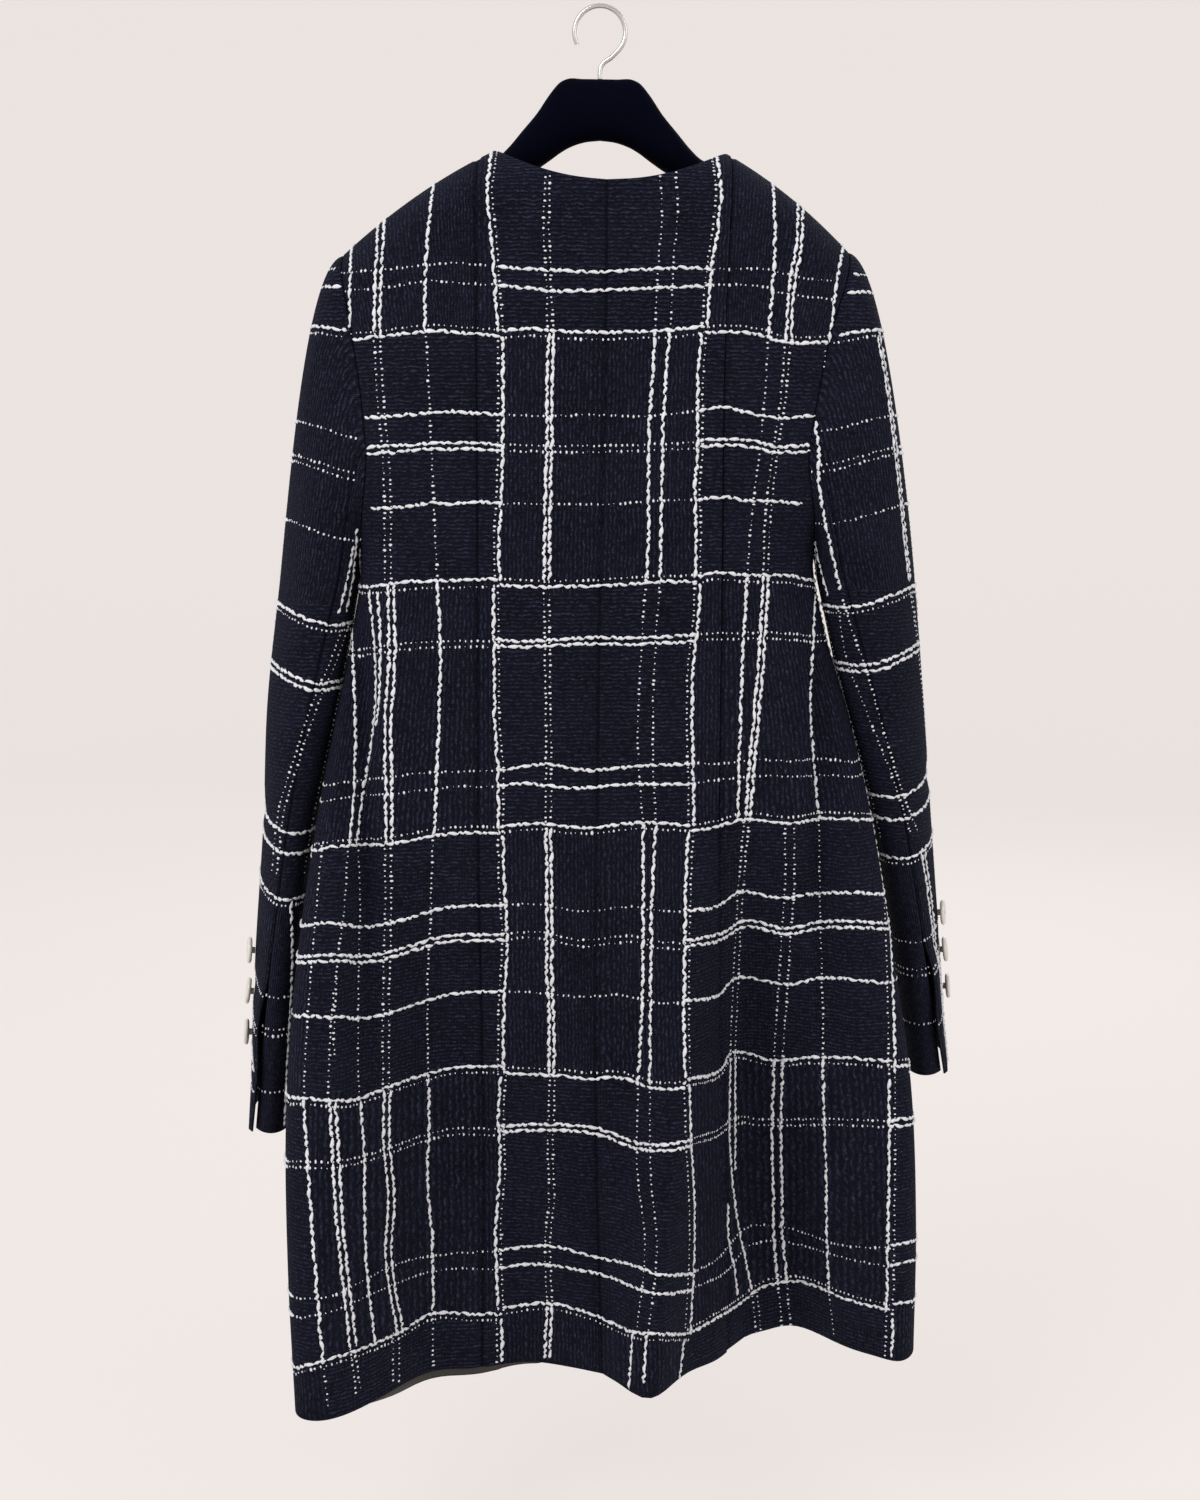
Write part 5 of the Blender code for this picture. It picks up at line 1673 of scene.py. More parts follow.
class Bundle:
    """Yarns and stitches that are joined into one piece each."""

    def __init__(self, name):
        self.name = name
        self.vertices = {sides: [] for sides in BUNDLE_PIECES}
        self.faces = {sides: [] for sides in BUNDLE_PIECES}
        self.counts = {sides: 0 for sides in BUNDLE_PIECES}
        self.random = np.random.default_rng(SEED + sum(map(ord, name)))

    def add(self, sides, vertices, faces):
        self.faces[sides].append(faces + self.counts[sides])
        self.vertices[sides].append(vertices)
        self.counts[sides] += len(vertices)

    def make(self, finish):
        made = []
        for sides, suffix in BUNDLE_PIECES.items():
            if not self.counts[sides]:
                continue
            vertices = np.concatenate(self.vertices[sides])
            faces = np.concatenate(self.faces[sides])
            thing = smooth_mesh(f"{self.name}_{suffix}", vertices, faces, finish)
            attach(thing, "root")
            made.append(thing)
        return made


def travelled_along(points):
    """The distance along a line to each of its points."""
    steps = np.linalg.norm(np.diff(points, axis=0), axis=1)
    return np.concatenate([[0], np.cumsum(steps)])


def resampled(points, normals, step):
    """The line again with even steps, and its normals."""
    travelled = travelled_along(points)
    if travelled[-1] < 2 * step:
        return None
    at = np.linspace(0, travelled[-1], max(3, int(travelled[-1] / step) + 1))
    placed, facing = (
        np.stack([np.interp(at, travelled, values[:, axis]) for axis in range(3)], axis=1)
        for values in (points, normals)
    )
    return placed, unit(facing)


def across_line(points, normals):
    """The ways along a line and across it, at each of its points."""
    along = unit(np.gradient(points, axis=0))
    return along, unit(np.cross(along, normals))


def ring_at(middle, first, second, first_reach, second_reach, turns):
    """A ring of points about each middle, with its own reach each way."""
    return (
        middle[:, None]
        + first[:, None] * (first_reach[:, None] * np.cos(turns))[..., None]
        + second[:, None] * (second_reach[:, None] * np.sin(turns))[..., None]
    )


def lay_yarn(bundle, points, normals):
    """A lumpy, slightly wandering tube along a line on the cloth."""
    line = resampled(points, normals, YARN_STEP)
    if line is None:
        return
    points, normals = line
    _, across = across_line(points, normals)
    count = len(points)
    rnd = bundle.random
    sway, sway_rate = YARN_LUMP_SWAY
    at = np.arange(count) * YARN_STEP / YARN_LUMP + rnd.uniform(0, 1)
    at = at + sway * np.sin(at * sway_rate + rnd.uniform(0, math.tau))
    lump = (at - at.min()).astype(int)
    part = at - at.min() - lump
    size = rnd.uniform(*YARN_LUMP_SIZES, lump.max() + 1)[lump]
    slant = rnd.choice(YARN_LUMP_SLANTS, lump.max() + 1)[lump]
    swell = np.sin(math.pi * part) ** YARN_LUMP_POWER
    radius = YARN_RADIUS * (YARN_THINNEST + YARN_SWELL * swell * size)
    radius *= rnd.uniform(*YARN_UNEVENNESS, count)
    knots = rnd.normal(0, 1, count // YARN_WANDER_STEPS + 3)
    knots_at = np.arange(len(knots)) * YARN_WANDER_STEPS
    wander = np.interp(np.arange(count), knots_at, knots) * YARN_WANDER
    wander += (part - 0.5) * slant * YARN_SLANT
    lift = YARN_RADIUS * (YARN_RISE * swell - YARN_SINK)
    middle = points + across * wander[:, None] + normals * lift[:, None]
    turns = np.arange(YARN_SIDES) * math.tau / YARN_SIDES + math.pi / 6
    ring = ring_at(middle, across, normals, radius, YARN_FLATNESS * radius, turns)
    for end in (0, -1):
        ring[end] = middle[end] + (ring[end] - middle[end]) * YARN_END
    caps = []
    for start, way in ((0, -1), ((count - 1) * YARN_SIDES, 1)):
        six = (start + np.arange(YARN_SIDES))[::way]
        caps += [six[[0, 1, 2, 3]], six[[0, 3, 4, 5]]]
    faces = np.concatenate([tube_faces(count, YARN_SIDES), caps])
    bundle.add(4, ring.reshape(-1, 3), faces)


def lay_stitches(bundle, points, normals):
    """A row of small stitches along a line on the cloth."""
    line = resampled(points, normals, DOT_PITCH)
    if line is None:
        return
    points, normals = line
    along, across = across_line(points, normals)
    count = len(points)
    rnd = bundle.random
    size = DOT_RADIUS * np.clip(rnd.normal(*DOT_SIZE, count), *DOT_SIZE_LIMITS)
    long = size * rnd.uniform(*DOT_LONG, count)
    wide = size * rnd.uniform(*DOT_WIDE, count)
    middle = points + across * rnd.uniform(-DOT_ASIDE, DOT_ASIDE, count)[:, None]
    middle = middle + along * rnd.uniform(-DOT_ALONG, DOT_ALONG, count)[:, None]
    turns = np.arange(DOT_SIDES) * math.tau / DOT_SIDES
    rings = [
        ring_at(middle, along, across, scale * long, scale * wide, turns)
        + (normals * height)[:, None]
        for scale, height in DOT_RINGS
    ]
    top, bottom = middle + normals * DOT_TOP, middle - normals * DOT_BOTTOM
    vertices = np.concatenate([*rings, top[:, None], bottom[:, None]], axis=1)
    peak, base = 2 * DOT_SIDES, 2 * DOT_SIDES + 1
    each = []
    for index in range(DOT_SIDES):
        following = (index + 1) % DOT_SIDES
        above, next_above = DOT_SIDES + index, DOT_SIDES + following
        each += [[index, following, next_above], [index, next_above, above]]
        each += [[above, next_above, peak], [following, index, base]]
    faces = np.array(each)[None] + np.arange(count)[:, None, None] * (base + 1)
    bundle.add(3, vertices.reshape(-1, 3), faces.reshape(-1, 3))


def body_normal(angle, drop):
    normal = surface_normals(body_at, angle, drop)
    outward = body_at(angle, drop) * OUTWARD_WEIGHTS
    return normal * np.sign((normal * outward).sum(axis=1, keepdims=True) + 1e-9)


def ray_of(pixel):
    """The way from the camera through a pixel of the photograph."""
    across = (pixel[0] - IMAGE_SIZE[0] / 2) / FOCAL_PIXELS
    down = (pixel[1] - IMAGE_SIZE[1] / 2) / FOCAL_PIXELS
    cos, sin = math.cos(CAMERA_TILT), math.sin(CAMERA_TILT)
    return Vector((across, cos - down * sin, -sin - down * cos)).normalized()


def surface_tree(grids):
    """The grids' quads together, ready to be met by rays."""
    vertices, faces = [], []
    for points in grids:
        numbers = np.arange(points.shape[0] * points.shape[1]).reshape(points.shape[:2])
        faces += grid_faces(numbers + len(vertices)).tolist()
        vertices += points.reshape(-1, 3).tolist()
    return BVHTree.FromPolygons(vertices, faces)


def projected(tree, pixels):
    """The cloth's points and normals under a line of pixels, in runs without a gap."""
    pixels = np.array(pixels, float)
    travelled = travelled_along(pixels)
    at = np.linspace(0, travelled[-1], max(3, int(travelled[-1] / CHART_STEP)))
    fine = [smooth_through(travelled, pixels[:, axis], at) for axis in range(2)]
    origin = Vector(CAMERA_PLACE)
    runs = [[]]
    for pixel in zip(*fine):
        way = ray_of(pixel)
        place, normal, _, _ = tree.ray_cast(origin, way)
        if place is None:
            runs.append([])
            continue
        if runs[-1] and (place - runs[-1][-1][0]).length > CHART_JUMP:
            runs.append([])
        runs[-1].append((place, -normal if normal.dot(way) > 0 else normal))
    return [
        tuple(np.array([tuple(vector) for vector in part]) for part in zip(*run))
        for run in runs
        if len(run) > 2
    ]


def over_shoulder(tree, points, normals):
    """Carries a column on from the shoulder's visible edge, over to the shoulder seam."""
    found = []
    last = Vector(points[0])
    for forward in np.arange(1, SHOULDER_STEPS) * SHOULDER_STEP:
        above = Vector((points[0][0], points[0][1] + forward, 0))
        place, normal, _, _ = tree.ray_cast(above, Vector((0, 0, -1)))
        if place is None or (place - last).length > SHOULDER_JUMP:
            break
        last = place
        found.append((place, normal if normal.z > 0 else -normal))
    if len(found) < SHOULDER_LEAST:
        return points, normals
    more, ways = (np.array([tuple(vector) for vector in part])[::-1] for part in zip(*found))
    return np.concatenate([more, points]), np.concatenate([ways, normals])


def smooth_through(levels, values, at):
    """A smooth curve through points, or a straight one through only two."""
    if len(levels) < 3:
        return np.interp(at, levels, values)
    return curve_through(levels, values, at)


def lay(bundle, kind, points, normals):
    """Lays a yarn of a kind, S solid or D dotted, along a line on the cloth."""
    if kind == "S":
        lay_yarn(bundle, points, normals)
    else:
        lay_stitches(bundle, points, normals)


def charted_lines(lines, way, pairs, dots):
    """Each charted line's name and parts, then those of its second or dotted yarn, which lies
    beside it in the given way."""

    def moved(pixels, shift):
        return [(x + shift * way[0], y + shift * way[1]) for x, y in pixels]

    for name, parts in lines.items():
        yield name, parts
        if name in pairs:
            yield name + " again", [(kind, moved(pixels, pairs[name])) for kind, pixels in parts]
        if name in dots:
            beside = zip(parts, dots[name])
            yield name + " dots", [("D", moved(pixels, shift)) for (_, pixels), shift in beside]


def lay_on_back(bundles, kind, points, normals):
    side = "left" if points[:, 0].mean() < 0 else "right"
    lay(bundles["back_" + side], kind, points, normals)


def back_check(tree, bundles):
    """The charted lines of the back. Returns the point where each row meets each side seam."""
    ends = {}
    for name, parts in charted_lines(ROWS, (0, 1), PAIRED_ROWS, DOTS_BELOW):
        for kind, pixels in parts:
            for points, normals in projected(tree, pixels):
                lay_on_back(bundles, kind, points, normals)
                ends.setdefault((name, "left"), points[0])
                ends[(name, "right")] = points[-1]
    for _, parts in charted_lines(COLUMNS, (1, 0), PAIRED_COLUMNS, DOTS_BESIDE):
        for number, (kind, pixels) in enumerate(parts):
            for points, normals in projected(tree, pixels):
                if number == 0 and points[0, 2] > -SHOULDER_LOW:
                    points, normals = over_shoulder(tree, points, normals)
                lay_on_back(bundles, kind, points, normals)
    return ends


def right_outer_check(bundle):
    """The main column near the back's right edge."""
    mains = [level for level in MAIN_DROPS if level >= RIGHT_OUTER[0][0]]
    levels = [*mains, HEM_DROP - HEM_MARGIN]
    after, before = RIGHT_OUTER_MARGINS
    for band, (start, end) in enumerate(zip(levels, levels[1:])):
        drops = np.linspace(start + after, end - before, RIGHT_OUTER_STEPS)
        x = table_value(RIGHT_OUTER, RIGHT_OUTER_COLUMNS, "x", drops)
        for kind, way in (("S", 1), ("D", -1)):
            moved = x + way * (1 if band % 2 else -1) * LINE_GAP / 2
            angles = angle_at(moved, drops)
            lay(bundle, kind, body_at(angles, drops), body_normal(angles, drops))


def side_and_front_check(ends, bundles):
    """Rows from where the photograph's lines end, round each side to the front's middle, and
    the front's columns."""
    for side in SIDES:
        bundle = bundles["front_" + side]
        for name, (level, kind) in SIDE_ROWS.items():
            end = ends.get((name, side))
            row_run(bundle, side, level, end, 0.0, kind)
            if kind == "main":
                row_run(bundle, side, level, end, LINE_GAP, "beside")
        for kind, places in FRONT_COLUMNS.items():
            for x in places:
                if (x < FRONT_MIDDLE) == (side == "left"):
                    column_run(bundle, side, x, kind)


def front_limit(side, drop):
    """The angle of a front's outer edge, for the back's way of counting."""
    if drop < UNDERARM_DROP:
        return SIDES[side] * float(armhole_angle(side, True, np.array([float(drop)]))[0])
    return SIDES[side] * math.pi / 2


def lay_blocks(bundle, points, normals, blocks, kind_in):
    """Lays a line block by block of the check, in the kind of yarn that it has in each."""
    for block in sorted(set(blocks)):
        chosen = np.flatnonzero(blocks == block)
        if len(chosen) >= RUN_LEAST:
            lay(bundle, kind_in(block), points[chosen], normals[chosen])


def row_run(bundle, side, level, end, offset, kind):
    """A row of a front, from the back's last point on it, or from the armhole."""
    level = level + offset
    first = to_front(front_limit(side, level), side)
    last = to_front(float(angle_at(0.0, np.array(level))), side)
    goes_on = end is not None and level > UNDERARM_DROP
    start_drop = float(-end[2]) + offset if goes_on else level
    shares = np.linspace(0, 1, ROW_STEPS)
    angles = first + (last - first) * shares
    drops = start_drop + (level - start_drop) * smooth_step(shares / ROW_SETTLES)
    if goes_on:
        seen = float(angle_at(float(end[0]), np.array(-float(end[2]))))
        extra = np.linspace(seen, first, ROW_START_STEPS)[:-1]
        angles = np.concatenate([extra, angles])
        drops = np.concatenate([np.full(len(extra), start_drop), drops])
    top = neck_drop(ring_x(angles, drops), True)
    keep = drops > np.where(np.abs(angles) > math.pi / 2, top, 0) + ROW_MARGIN
    angles, drops = angles[keep], drops[keep]
    if len(angles) < RUN_LEAST:
        return
    points, normals = body_at(angles, drops), body_normal(angles, drops)

    def kind_in(block):
        solid = kind == "main" or (kind != "beside" and (block % 2 == 0) == (kind == "low"))
        return "S" if solid else "D"

    blocks = block_of(points[:, 0], FRONT_COLUMNS["main"])
    lay_blocks(bundle, points, normals, blocks, kind_in)


def column_run(bundle, side, x, kind):
    """A column of a front, from its neck or armhole down to the hem."""
    top = float(neck_drop(np.array(float(x)), True)) + COLUMN_NECK_MARGIN
    drops = np.linspace(max(top, COLUMN_FIRST_DROP), HEM_DROP - HEM_MARGIN, COLUMN_STEPS)
    back = angle_at(np.full(drops.shape, float(x)), drops)
    half = np.abs(ring_value(side, drops)) - SIDE_MARGIN
    limits = np.array([abs(front_limit(side, drop)) for drop in drops])
    keep = (np.abs(x) < half) & (np.abs(back) < limits - ARMHOLE_MARGIN)
    angles, drops = to_front(back, side)[keep], drops[keep]
    if len(drops) < COLUMN_LEAST:
        return
    points, normals = body_at(angles, drops), body_normal(angles, drops)
    rows = block_of(drops, MAIN_DROPS)
    column_block = block_of(x, FRONT_COLUMNS["main"])
    for row in sorted(set(rows)):
        chosen = np.flatnonzero(rows == row)
        if len(chosen) < RUN_LEAST:
            continue
        odd = (row + column_block) % 2 == 1
        if kind == "main":
            aside = np.array([(1 if odd else -1) * LINE_GAP / 2, 0, 0])
            lay(bundle, "S", points[chosen] + aside, normals[chosen])
            lay(bundle, "D", points[chosen] - aside, normals[chosen])
        else:
            lay(bundle, "S" if odd else "D", points[chosen], normals[chosen])


def sleeve_level(level, shares):
    """The drop of a ring at each share: it sinks towards the inside of the arm."""
    inwards = smooth_step((np.abs(shares) - SLEEVE_SINK_FROM) / SLEEVE_SINK_RUN)
    return level + SLEEVE_SINK * inwards


def at_drops(grid, ways, drops):
    """Where each of a grid's columns reaches a drop, its normal, and whether it does."""
    levels = -grid[..., 2]
    places, facing, reached = [], [], []
    for index, drop in enumerate(drops):
        down = levels[:, index]
        below = np.flatnonzero((down[:-1] <= drop) & (down[1:] > drop))
        reached.append(len(below) > 0)
        row = int(below[0]) if len(below) else 0
        share = (drop - down[row]) / max(down[row + 1] - down[row], 1e-6) if len(below) else 0
        places.append(grid[row, index] + (grid[row + 1, index] - grid[row, index]) * share)
        facing.append(ways[row, index])
    return np.array(places), np.array(facing), np.array(reached)


def sleeve_check(side, grids, bundle):
    """Rings and lengthways yarns of a sleeve, laid on its two shells."""
    for upper in (True, False):
        name = ("sleeve_upper_" if upper else "sleeve_under_") + side
        _, points, ways = grids[name]
        shares = sleeve_shares(upper)
        sleeve_rings(bundle, side, points, ways, shares)
        sleeve_lines(bundle, side, points, ways, shares, upper)
    tree = surface_tree([grids[name][1] for name in grids])
    for kind, pixels in SLEEVE_COLUMNS_SEEN[side]:
        for points, normals in projected(tree, pixels):
            lay(bundle, kind, points, normals)


def sleeve_rings(bundle, side, points, ways, shares):
    """Yarns round a sleeve."""
    mains = SLEEVE_MAIN_DROPS[side]
    rings = [("main", level) for level in mains]
    rings += [("beside", level + LINE_GAP) for level in mains]
    rings += [(kind, level) for kind, levels in SLEEVE_RINGS[side] for level in levels]
    faces_back = sleeve_faces_back(shares)
    solid_in = {
        "main": np.ones(len(shares), bool),
        "beside": np.zeros(len(shares), bool),
        "low": faces_back,
        "high": ~faces_back,
    }
    for ring, level in rings:
        line, facing, reached = at_drops(points, ways, sleeve_level(level, shares))
        solid = solid_in[ring]
        for kind, chosen in (("S", solid & reached), ("D", ~solid & reached)):
            for run in runs_of(chosen):
                if len(run) >= RUN_LEAST:
                    lay(bundle, kind, line[run], facing[run])


def sleeve_lines(bundle, side, points, ways, shares, upper):
    """Yarns along a sleeve. Round the under sleeve, the back's shares go on from the front's 1."""
    order = np.where((shares > 0) | upper, shares, shares + 2)
    bands = block_of(-points[..., 2], SLEEVE_MAIN_DROPS[side])
    lines_of = SLEEVE_BACK_LINES[side]
    back_lines = {share for line in lines_of.values() for share in line}
    for share in (SLEEVE_MAIN_SHARE, *SLEEVE_LINE_SHARES, *sorted(back_lines)):
        target = share if upper or share > 0 else share + 2
        if not order.min() < target < order.max():
            continue
        line = at_row(points.swapaxes(0, 1), order, target)
        facing = at_row(ways.swapaxes(0, 1), order, target)
        down = bands[:, int(np.argmin(np.abs(order - target)))]
        back = bool(sleeve_faces_back(np.array([share]))[0])
        for band in sorted(set(down)):
            chosen = np.flatnonzero(down == band)
            elsewhere = share in back_lines and share not in lines_of.get(band, ())
            if len(chosen) < RUN_LEAST or elsewhere:
                continue
            solid = share == SLEEVE_MAIN_SHARE or (band % 2 == 1) == back
            lay(bundle, "S" if solid else "D", line[chosen], facing[chosen])


def sleeve_faces_back(shares):
    first, last = SLEEVE_BACK_BLOCK
    return (shares < first) | (shares > last)


def runs_of(chosen):
    """Runs of neighbouring places that are chosen."""
    numbers = np.flatnonzero(chosen)
    return np.split(numbers, np.flatnonzero(np.diff(numbers) > 1) + 1) if len(numbers) else []


def at_row(grid, levels, level):
    """A grid's row at a level between its own."""
    order = np.argsort(levels)
    levels, grid = np.asarray(levels)[order], grid[order]
    index = int(np.clip(np.searchsorted(levels, level) - 1, 0, len(levels) - 2))
    share = (level - levels[index]) / (levels[index + 1] - levels[index])
    return grid[index] + (grid[index + 1] - grid[index]) * share


# Hard pieces


def buttons(side, points, finish, thread):
    """The cuff buttons of a sleeve, each with its cross of thread."""
    cuff = SLEEVES[side][-1][0]
    column_at = BUTTON_COLUMN * FINER
    drops = -points[:, column_at, 2]
    for number in range(BUTTON_COUNT):
        drop = cuff - BUTTON_ABOVE_CUFF - BUTTON_SPACING * (BUTTON_COUNT - 1 - number)
        row = int(np.searchsorted(drops, drop)) - 1
        share = (drop - drops[row]) / (drops[row + 1] - drops[row])
        here, below = points[row, column_at], points[row + 1, column_at]
        across = points[row, column_at + FINER] - points[row, column_at - FINER]
        out = np.cross(across, below - here)
        from_middle = here[:2] - sleeve_middle(side, drop)
        out *= np.sign((from_middle * out[:2]).sum()) / np.linalg.norm(out)
        seat = here + share * (below - here) + SEAM_GAP * out
        name = f"button_{side}_{number + 1}"
        face = turned(name + "_face", BUTTON_FACE, BUTTON_FACE_STEPS, finish)
        cross = thread_cross(name + "_thread", thread)
        for thing in (face, cross):
            place(thing, seat, out)
        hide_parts(name)


def place(thing, seat, out):
    """Turns a piece from Z to its way out and sets it on its seat."""
    turn = Vector(out).to_track_quat("Z", "Y").to_matrix().to_4x4()
    thing.data.transform(turn)
    for vertex in thing.data.vertices:
        vertex.co = vertex.co + Vector(seat) * METRES
    thing.data.update()
    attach(thing, "root")


def revolved(profile, steps):
    """The rings of points of a profile of radius and height, turned about Z."""
    radii, heights = np.array(profile, float).T[:, :, None]
    turns = np.arange(steps) * math.tau / steps
    return np.stack([radii * np.cos(turns), radii * np.sin(turns), heights + 0 * turns], axis=-1)


def turned(name, profile, steps, finish):
    ring = revolved(profile, steps)
    return smooth_mesh(name, ring.reshape(-1, 3), tube_faces(len(profile), steps), finish)


def thread_cross(name, finish):
    """Two stitches of thread over the button's middle."""
    up = np.array([0, 0, 1])
    at = np.linspace(-1, 1, THREAD_STEPS)[:, None]
    turns = np.arange(THREAD_SIDES) * math.tau / THREAD_SIDES
    vertices, faces = [], []
    for number, way in enumerate(THREAD_WAYS):
        along = unit(np.array([*way, 0.0]))
        across = np.array([-along[1], along[0], 0.0])
        middle = at * along * THREAD_REACH + up * (THREAD_HEIGHT + THREAD_RISE * (1 - at**2))
        ring = middle[:, None] + across * (THREAD_RADIUS * np.cos(turns))[:, None]
        ring = ring + up * (THREAD_RADIUS * np.sin(turns))[:, None]
        vertices.append(ring.reshape(-1, 3))
        faces.append(tube_faces(THREAD_STEPS, THREAD_SIDES, number * THREAD_STEPS * THREAD_SIDES))
    return smooth_mesh(name, np.concatenate(vertices), np.concatenate(faces), finish)


def lining(finish, made):
    """The strip of lining below the back hem: the panels' last rows, moved inside their wall."""
    grids = []
    for part in (1, 2):
        side, middle = made["back_side_left"][part][-2:], made["back_centre_left"][part][-2:]
        grids.append(np.concatenate([side[:, :0:-1], middle[:, ::-1]], axis=1))
    points, ways_in = grids
    shown = (points[1, :, 0] > LINING_FROM_X) & (points[1, :, 0] < LINING_TO_X)
    points, ways_in = points[:, shown], ways_in[:, shown]
    points = points - (WALL + LINING_CLEARANCE) * ways_in
    down = (points[1] - points[0]) * FINER
    across = np.linspace(0, 1, points.shape[1])[:, None]
    shows = LINING_SHOWS_LEFT + (LINING_SHOWS_RIGHT - LINING_SHOWS_LEFT) * across
    shows *= LINING_END_SHARE + (1 - LINING_END_SHARE) * smooth_step(across / LINING_RISE)
    edge, below = points[1], points[1] + unit(down) * shows
    strip = np.stack([edge - down * LINING_TUCK, edge, edge * 0.5 + below * 0.5, below])
    ways = np.stack([ways_in[1]] * len(strip))
    thing = cloth_piece("lining_hem", strip, ways, (), finish, LINING_WALL)
    declare(thing, strip)


def hanger_value(name, out):
    outs = column(HANGER, HANGER_COLUMNS, "out")
    return float(curve_through(outs, column(HANGER, HANGER_COLUMNS, name), out))


def hanger_section(x):
    """A ring of the hanger, its top just under the cloth."""
    out = abs(x)
    slope = float(ridge_drop(x + 1.0) - ridge_drop(x - 1.0)) / 2
    under_cloth = float(ridge_drop(x)) + (WALL + HANGER_CLEARANCE) * math.hypot(1, slope)
    top, bottom = hanger_value("top", out), hanger_value("bottom", out)
    if from_neck(x) >= -HANGER_TUCK:
        top = max(top, under_cloth)
    past = max(out - (HANGER_REACH - HANGER_END_ROUND), 0) / (HANGER_END_ROUND + 1)
    shrink = math.sqrt(1 - past**2)
    half_depth = hanger_value("half_depth", out) * shrink
    half_height = (bottom - top) / 2
    middle = top + half_height - half_height * (1 - shrink) * HANGER_END_LIFT
    angles = np.arange(HANGER_SIDES) * math.tau / HANGER_SIDES
    power = 2 / HANGER_SQUARENESS
    y = float(ridge_y(x)) + half_depth * signed_power(np.cos(angles), power)
    z = -middle + half_height * shrink * signed_power(np.sin(angles), power)
    return np.stack([np.full(len(angles), x), y, z], axis=-1)


def hanger(finish):
    """A loft of rounded sections along the shoulders."""
    outs = column(HANGER, HANGER_COLUMNS, "out")
    splits = column(HANGER, HANGER_COLUMNS, "splits").astype(int)
    half = []
    for start, end, parts in zip(outs, outs[1:], splits):
        half += list(np.linspace(start, end, HANGER_FINER * (parts + 1) + 1)[1:])
    rings = [hanger_section(x) for x in [-out for out in reversed(half)] + [0.0] + half]
    caps = []
    for ring in (rings[0], rings[-1]):
        centre = ring.mean(axis=0)
        caps.append(centre + (ring - centre) * HANGER_CAP)
    rings = np.stack([caps[0], *rings, caps[1]])
    faces = tube_faces(len(rings), HANGER_SIDES)
    thing = smooth_mesh("hanger_body", rings.reshape(-1, 3), faces, finish)
    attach(thing, "root")
    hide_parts("hanger")


def hook(finish):
    """A wire from the hanger's top, round over the rail."""
    middle = -HOOK_INNER_RADIUS
    radius = HOOK_INNER_RADIUS + HOOK_WIRE_RADIUS
    turns = np.radians(np.linspace(HOOK_END_DEGREES, HOOK_START_DEGREES, HOOK_ARC_POINTS))
    route = [(radius * math.cos(turn), middle + radius * math.sin(turn)) for turn in turns]
    route += list(HOOK_SHANK)
    curve = bpy.data.curves.new("hook_wire", "CURVE")
    curve.dimensions = "3D"
    curve.bevel_depth = HOOK_WIRE_RADIUS * METRES
    curve.bevel_resolution = HOOK_ROUNDNESS
    curve.use_fill_caps = True
    spline = curve.splines.new("POLY")
    spline.points.add(len(route) - 1)
    for point, (x, z) in zip(spline.points, route):
        point.co = (x * METRES, 0, z * METRES, 1)
    spline.use_smooth = True
    curve.materials.append(finish)
    thing = bpy.data.objects.new("hook_wire", curve)
    bpy.context.scene.collection.objects.link(thing)
    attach(thing, "root")
    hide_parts("hook")


# Stage


def stage():
    """A round pale floor that curves up into its own wall, so that any side has it behind."""
    profile = [(0.0, 0.0), (FLOOR_REACH * 0.5, 0.0), (FLOOR_REACH, 0.0)]
    for turn in np.linspace(0, math.pi / 2, FLOOR_BEND_STEPS)[1:]:
        rise = FLOOR_BEND * (1 - math.cos(turn))
        profile.append((FLOOR_REACH + FLOOR_BEND * math.sin(turn), rise))
    profile.append((FLOOR_REACH + FLOOR_BEND, WALL_HEIGHT))
    made, tree, shader = blank_material("backdrop", BACKDROP_SHADER)
    mottle = noise(tree, object_place(tree), BACKDROP_MOTTLE_SCALE)
    dark = tuple(value * BACKDROP_ALBEDO for value in BACKDROP)
    light = tuple(value * BACKDROP_MOTTLE for value in dark)
    link(tree, mixed_colour(tree, mottle, dark, light), shader.inputs["Base Color"])
    floor = -HEM_DROP - FLOOR_BELOW
    placed = [(radius + 0.01, height + floor) for radius, height in profile]
    thing = turned("backdrop", placed, FLOOR_STEPS, made)
    thing.data.flip_normals()


def lamp(name, place_at, aim, size, power):
    data = bpy.data.lights.new(name, "AREA")
    data.shape = "RECTANGLE"
    data.size, data.size_y = size
    data.energy = power
    thing = bpy.data.objects.new(name, data)
    thing.location = place_at
    way = Vector(aim) - Vector(place_at)
    thing.rotation_euler = way.to_track_quat("-Z", "Y").to_euler()
    bpy.context.scene.collection.objects.link(thing)


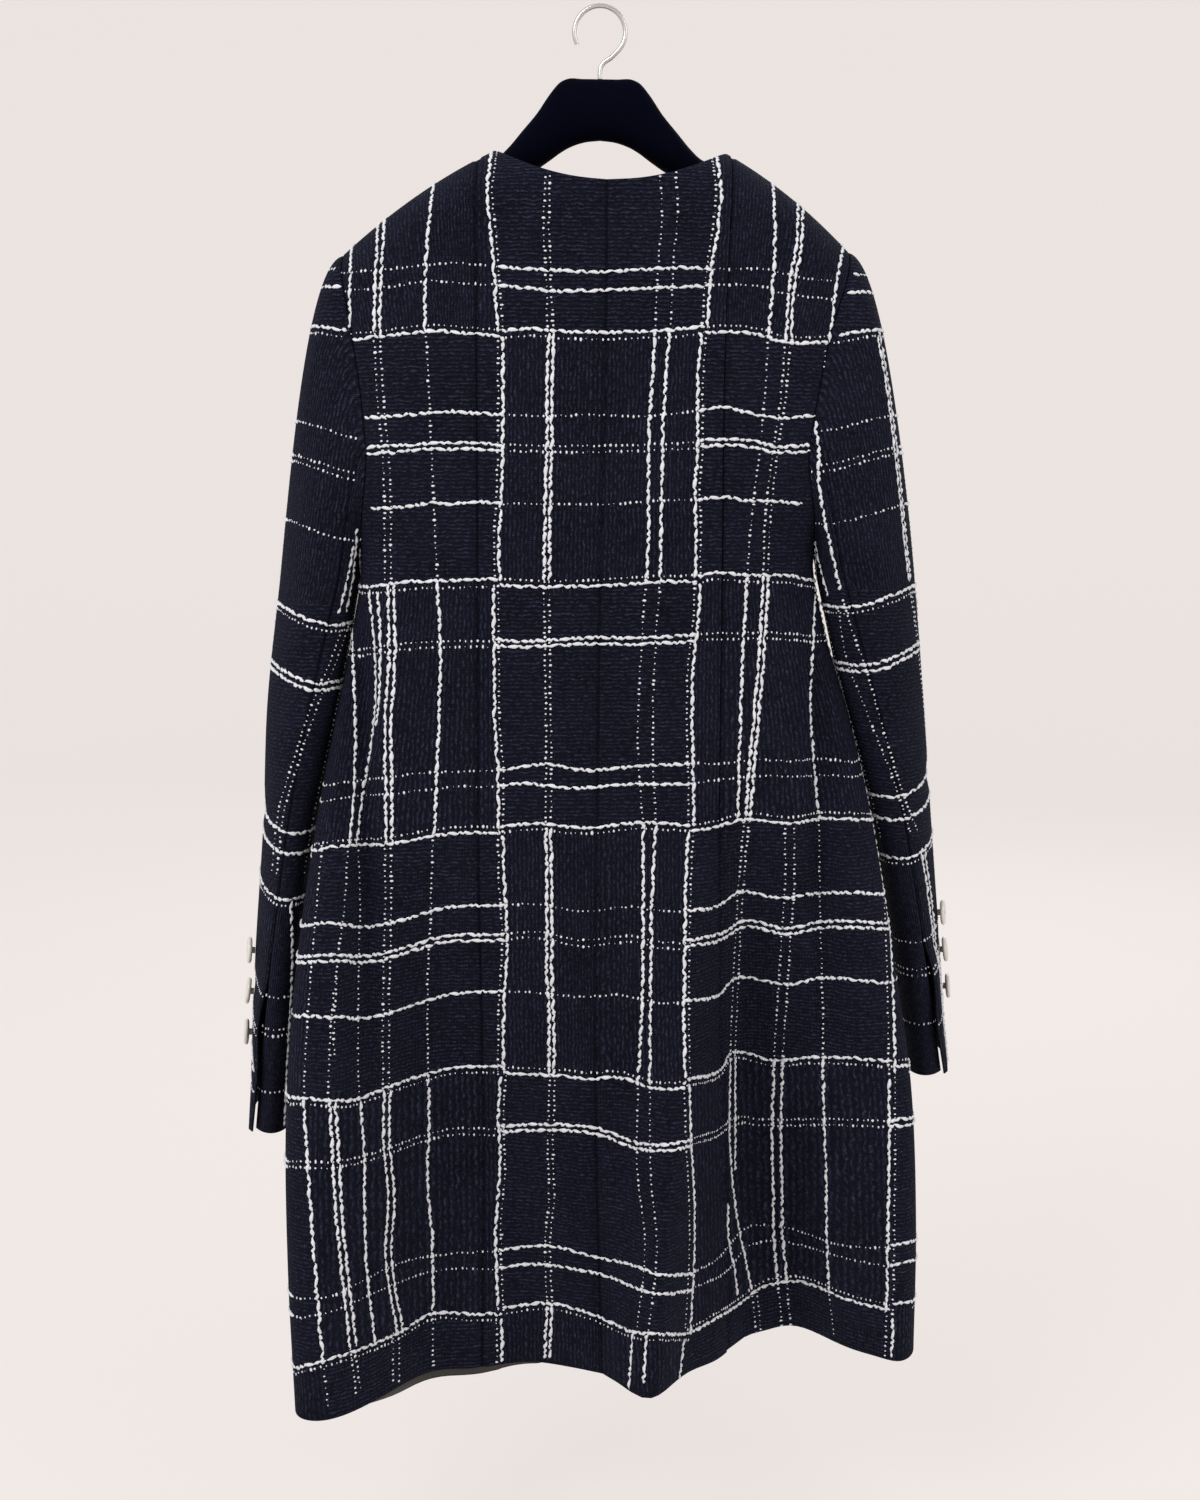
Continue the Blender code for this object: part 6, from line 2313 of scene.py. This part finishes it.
def camera():
    """The photograph's own view."""
    data = bpy.data.cameras.new("camera")
    data.sensor_fit = "VERTICAL"
    data.sensor_height = SENSOR
    data.lens = FOCAL_PIXELS / IMAGE_SIZE[1] * SENSOR
    data.clip_end = CLIP_END
    thing = bpy.data.objects.new("camera", data)
    thing.location = Vector(CAMERA_PLACE) * METRES
    thing.rotation_euler = (math.pi / 2 - CAMERA_TILT, 0, 0)
    bpy.context.scene.collection.objects.link(thing)
    bpy.context.scene.camera = thing


def light_up():
    """The lamps, the world's light and the plain view transform."""
    for name, lamp_row in LAMPS.items():
        lamp(name, *lamp_row)
    world = bpy.data.worlds.new("studio")
    world.use_nodes = True
    background = world.node_tree.nodes["Background"]
    background.inputs["Color"].default_value = (*WORLD_COLOUR, 1)
    background.inputs["Strength"].default_value = WORLD_STRENGTH
    bpy.context.scene.world = world
    bpy.context.scene.view_settings.view_transform = "Standard"


def main():
    camera()
    stage()
    light_up()
    tweed, yarn, satin = tweed_material(), yarn_material(), lining_material()
    plain = {name: plain_material(name) for name in PLAIN_FINISHES}
    panels, grids = {}, {}
    for side in SIDES:
        ways, made = body_cloth(side, tweed)
        grids[side] = sleeve_cloth(side, tweed, ways)
        panels.update(made)
        panels.update(grids[side])
    names = [f"{part}_{side}" for part in ("back", "front", "sleeve") for side in SIDES]
    bundles = {name: Bundle("check_" + name) for name in names}
    backs = [panels[name][1] for name in panels if name.startswith("back")]
    ends = back_check(surface_tree(backs), bundles)
    side_and_front_check(ends, bundles)
    right_outer_check(bundles["back_right"])
    for side in SIDES:
        sleeve_check(side, grids[side], bundles["sleeve_" + side])
    yarns = {name: bundle.make(yarn) for name, bundle in bundles.items()}
    lining(satin, panels)
    owners = {"back_centre": "back", "front": "front", "sleeve_upper": "sleeve"}
    for name, (thing, points, _) in panels.items():
        kind, side = name.rsplit("_", 1)
        carried = yarns[f"{owners[kind]}_{side}"] if kind in owners else ()
        declare(thing, points, carried)
    for side in SIDES:
        points = grids[side]["sleeve_upper_" + side][1]
        buttons(side, points, plain["pearl"], plain["thread"])
    hanger(plain["hanger_coating"])
    hook(plain["steel"])


main()
bpy.context.view_layer.update()
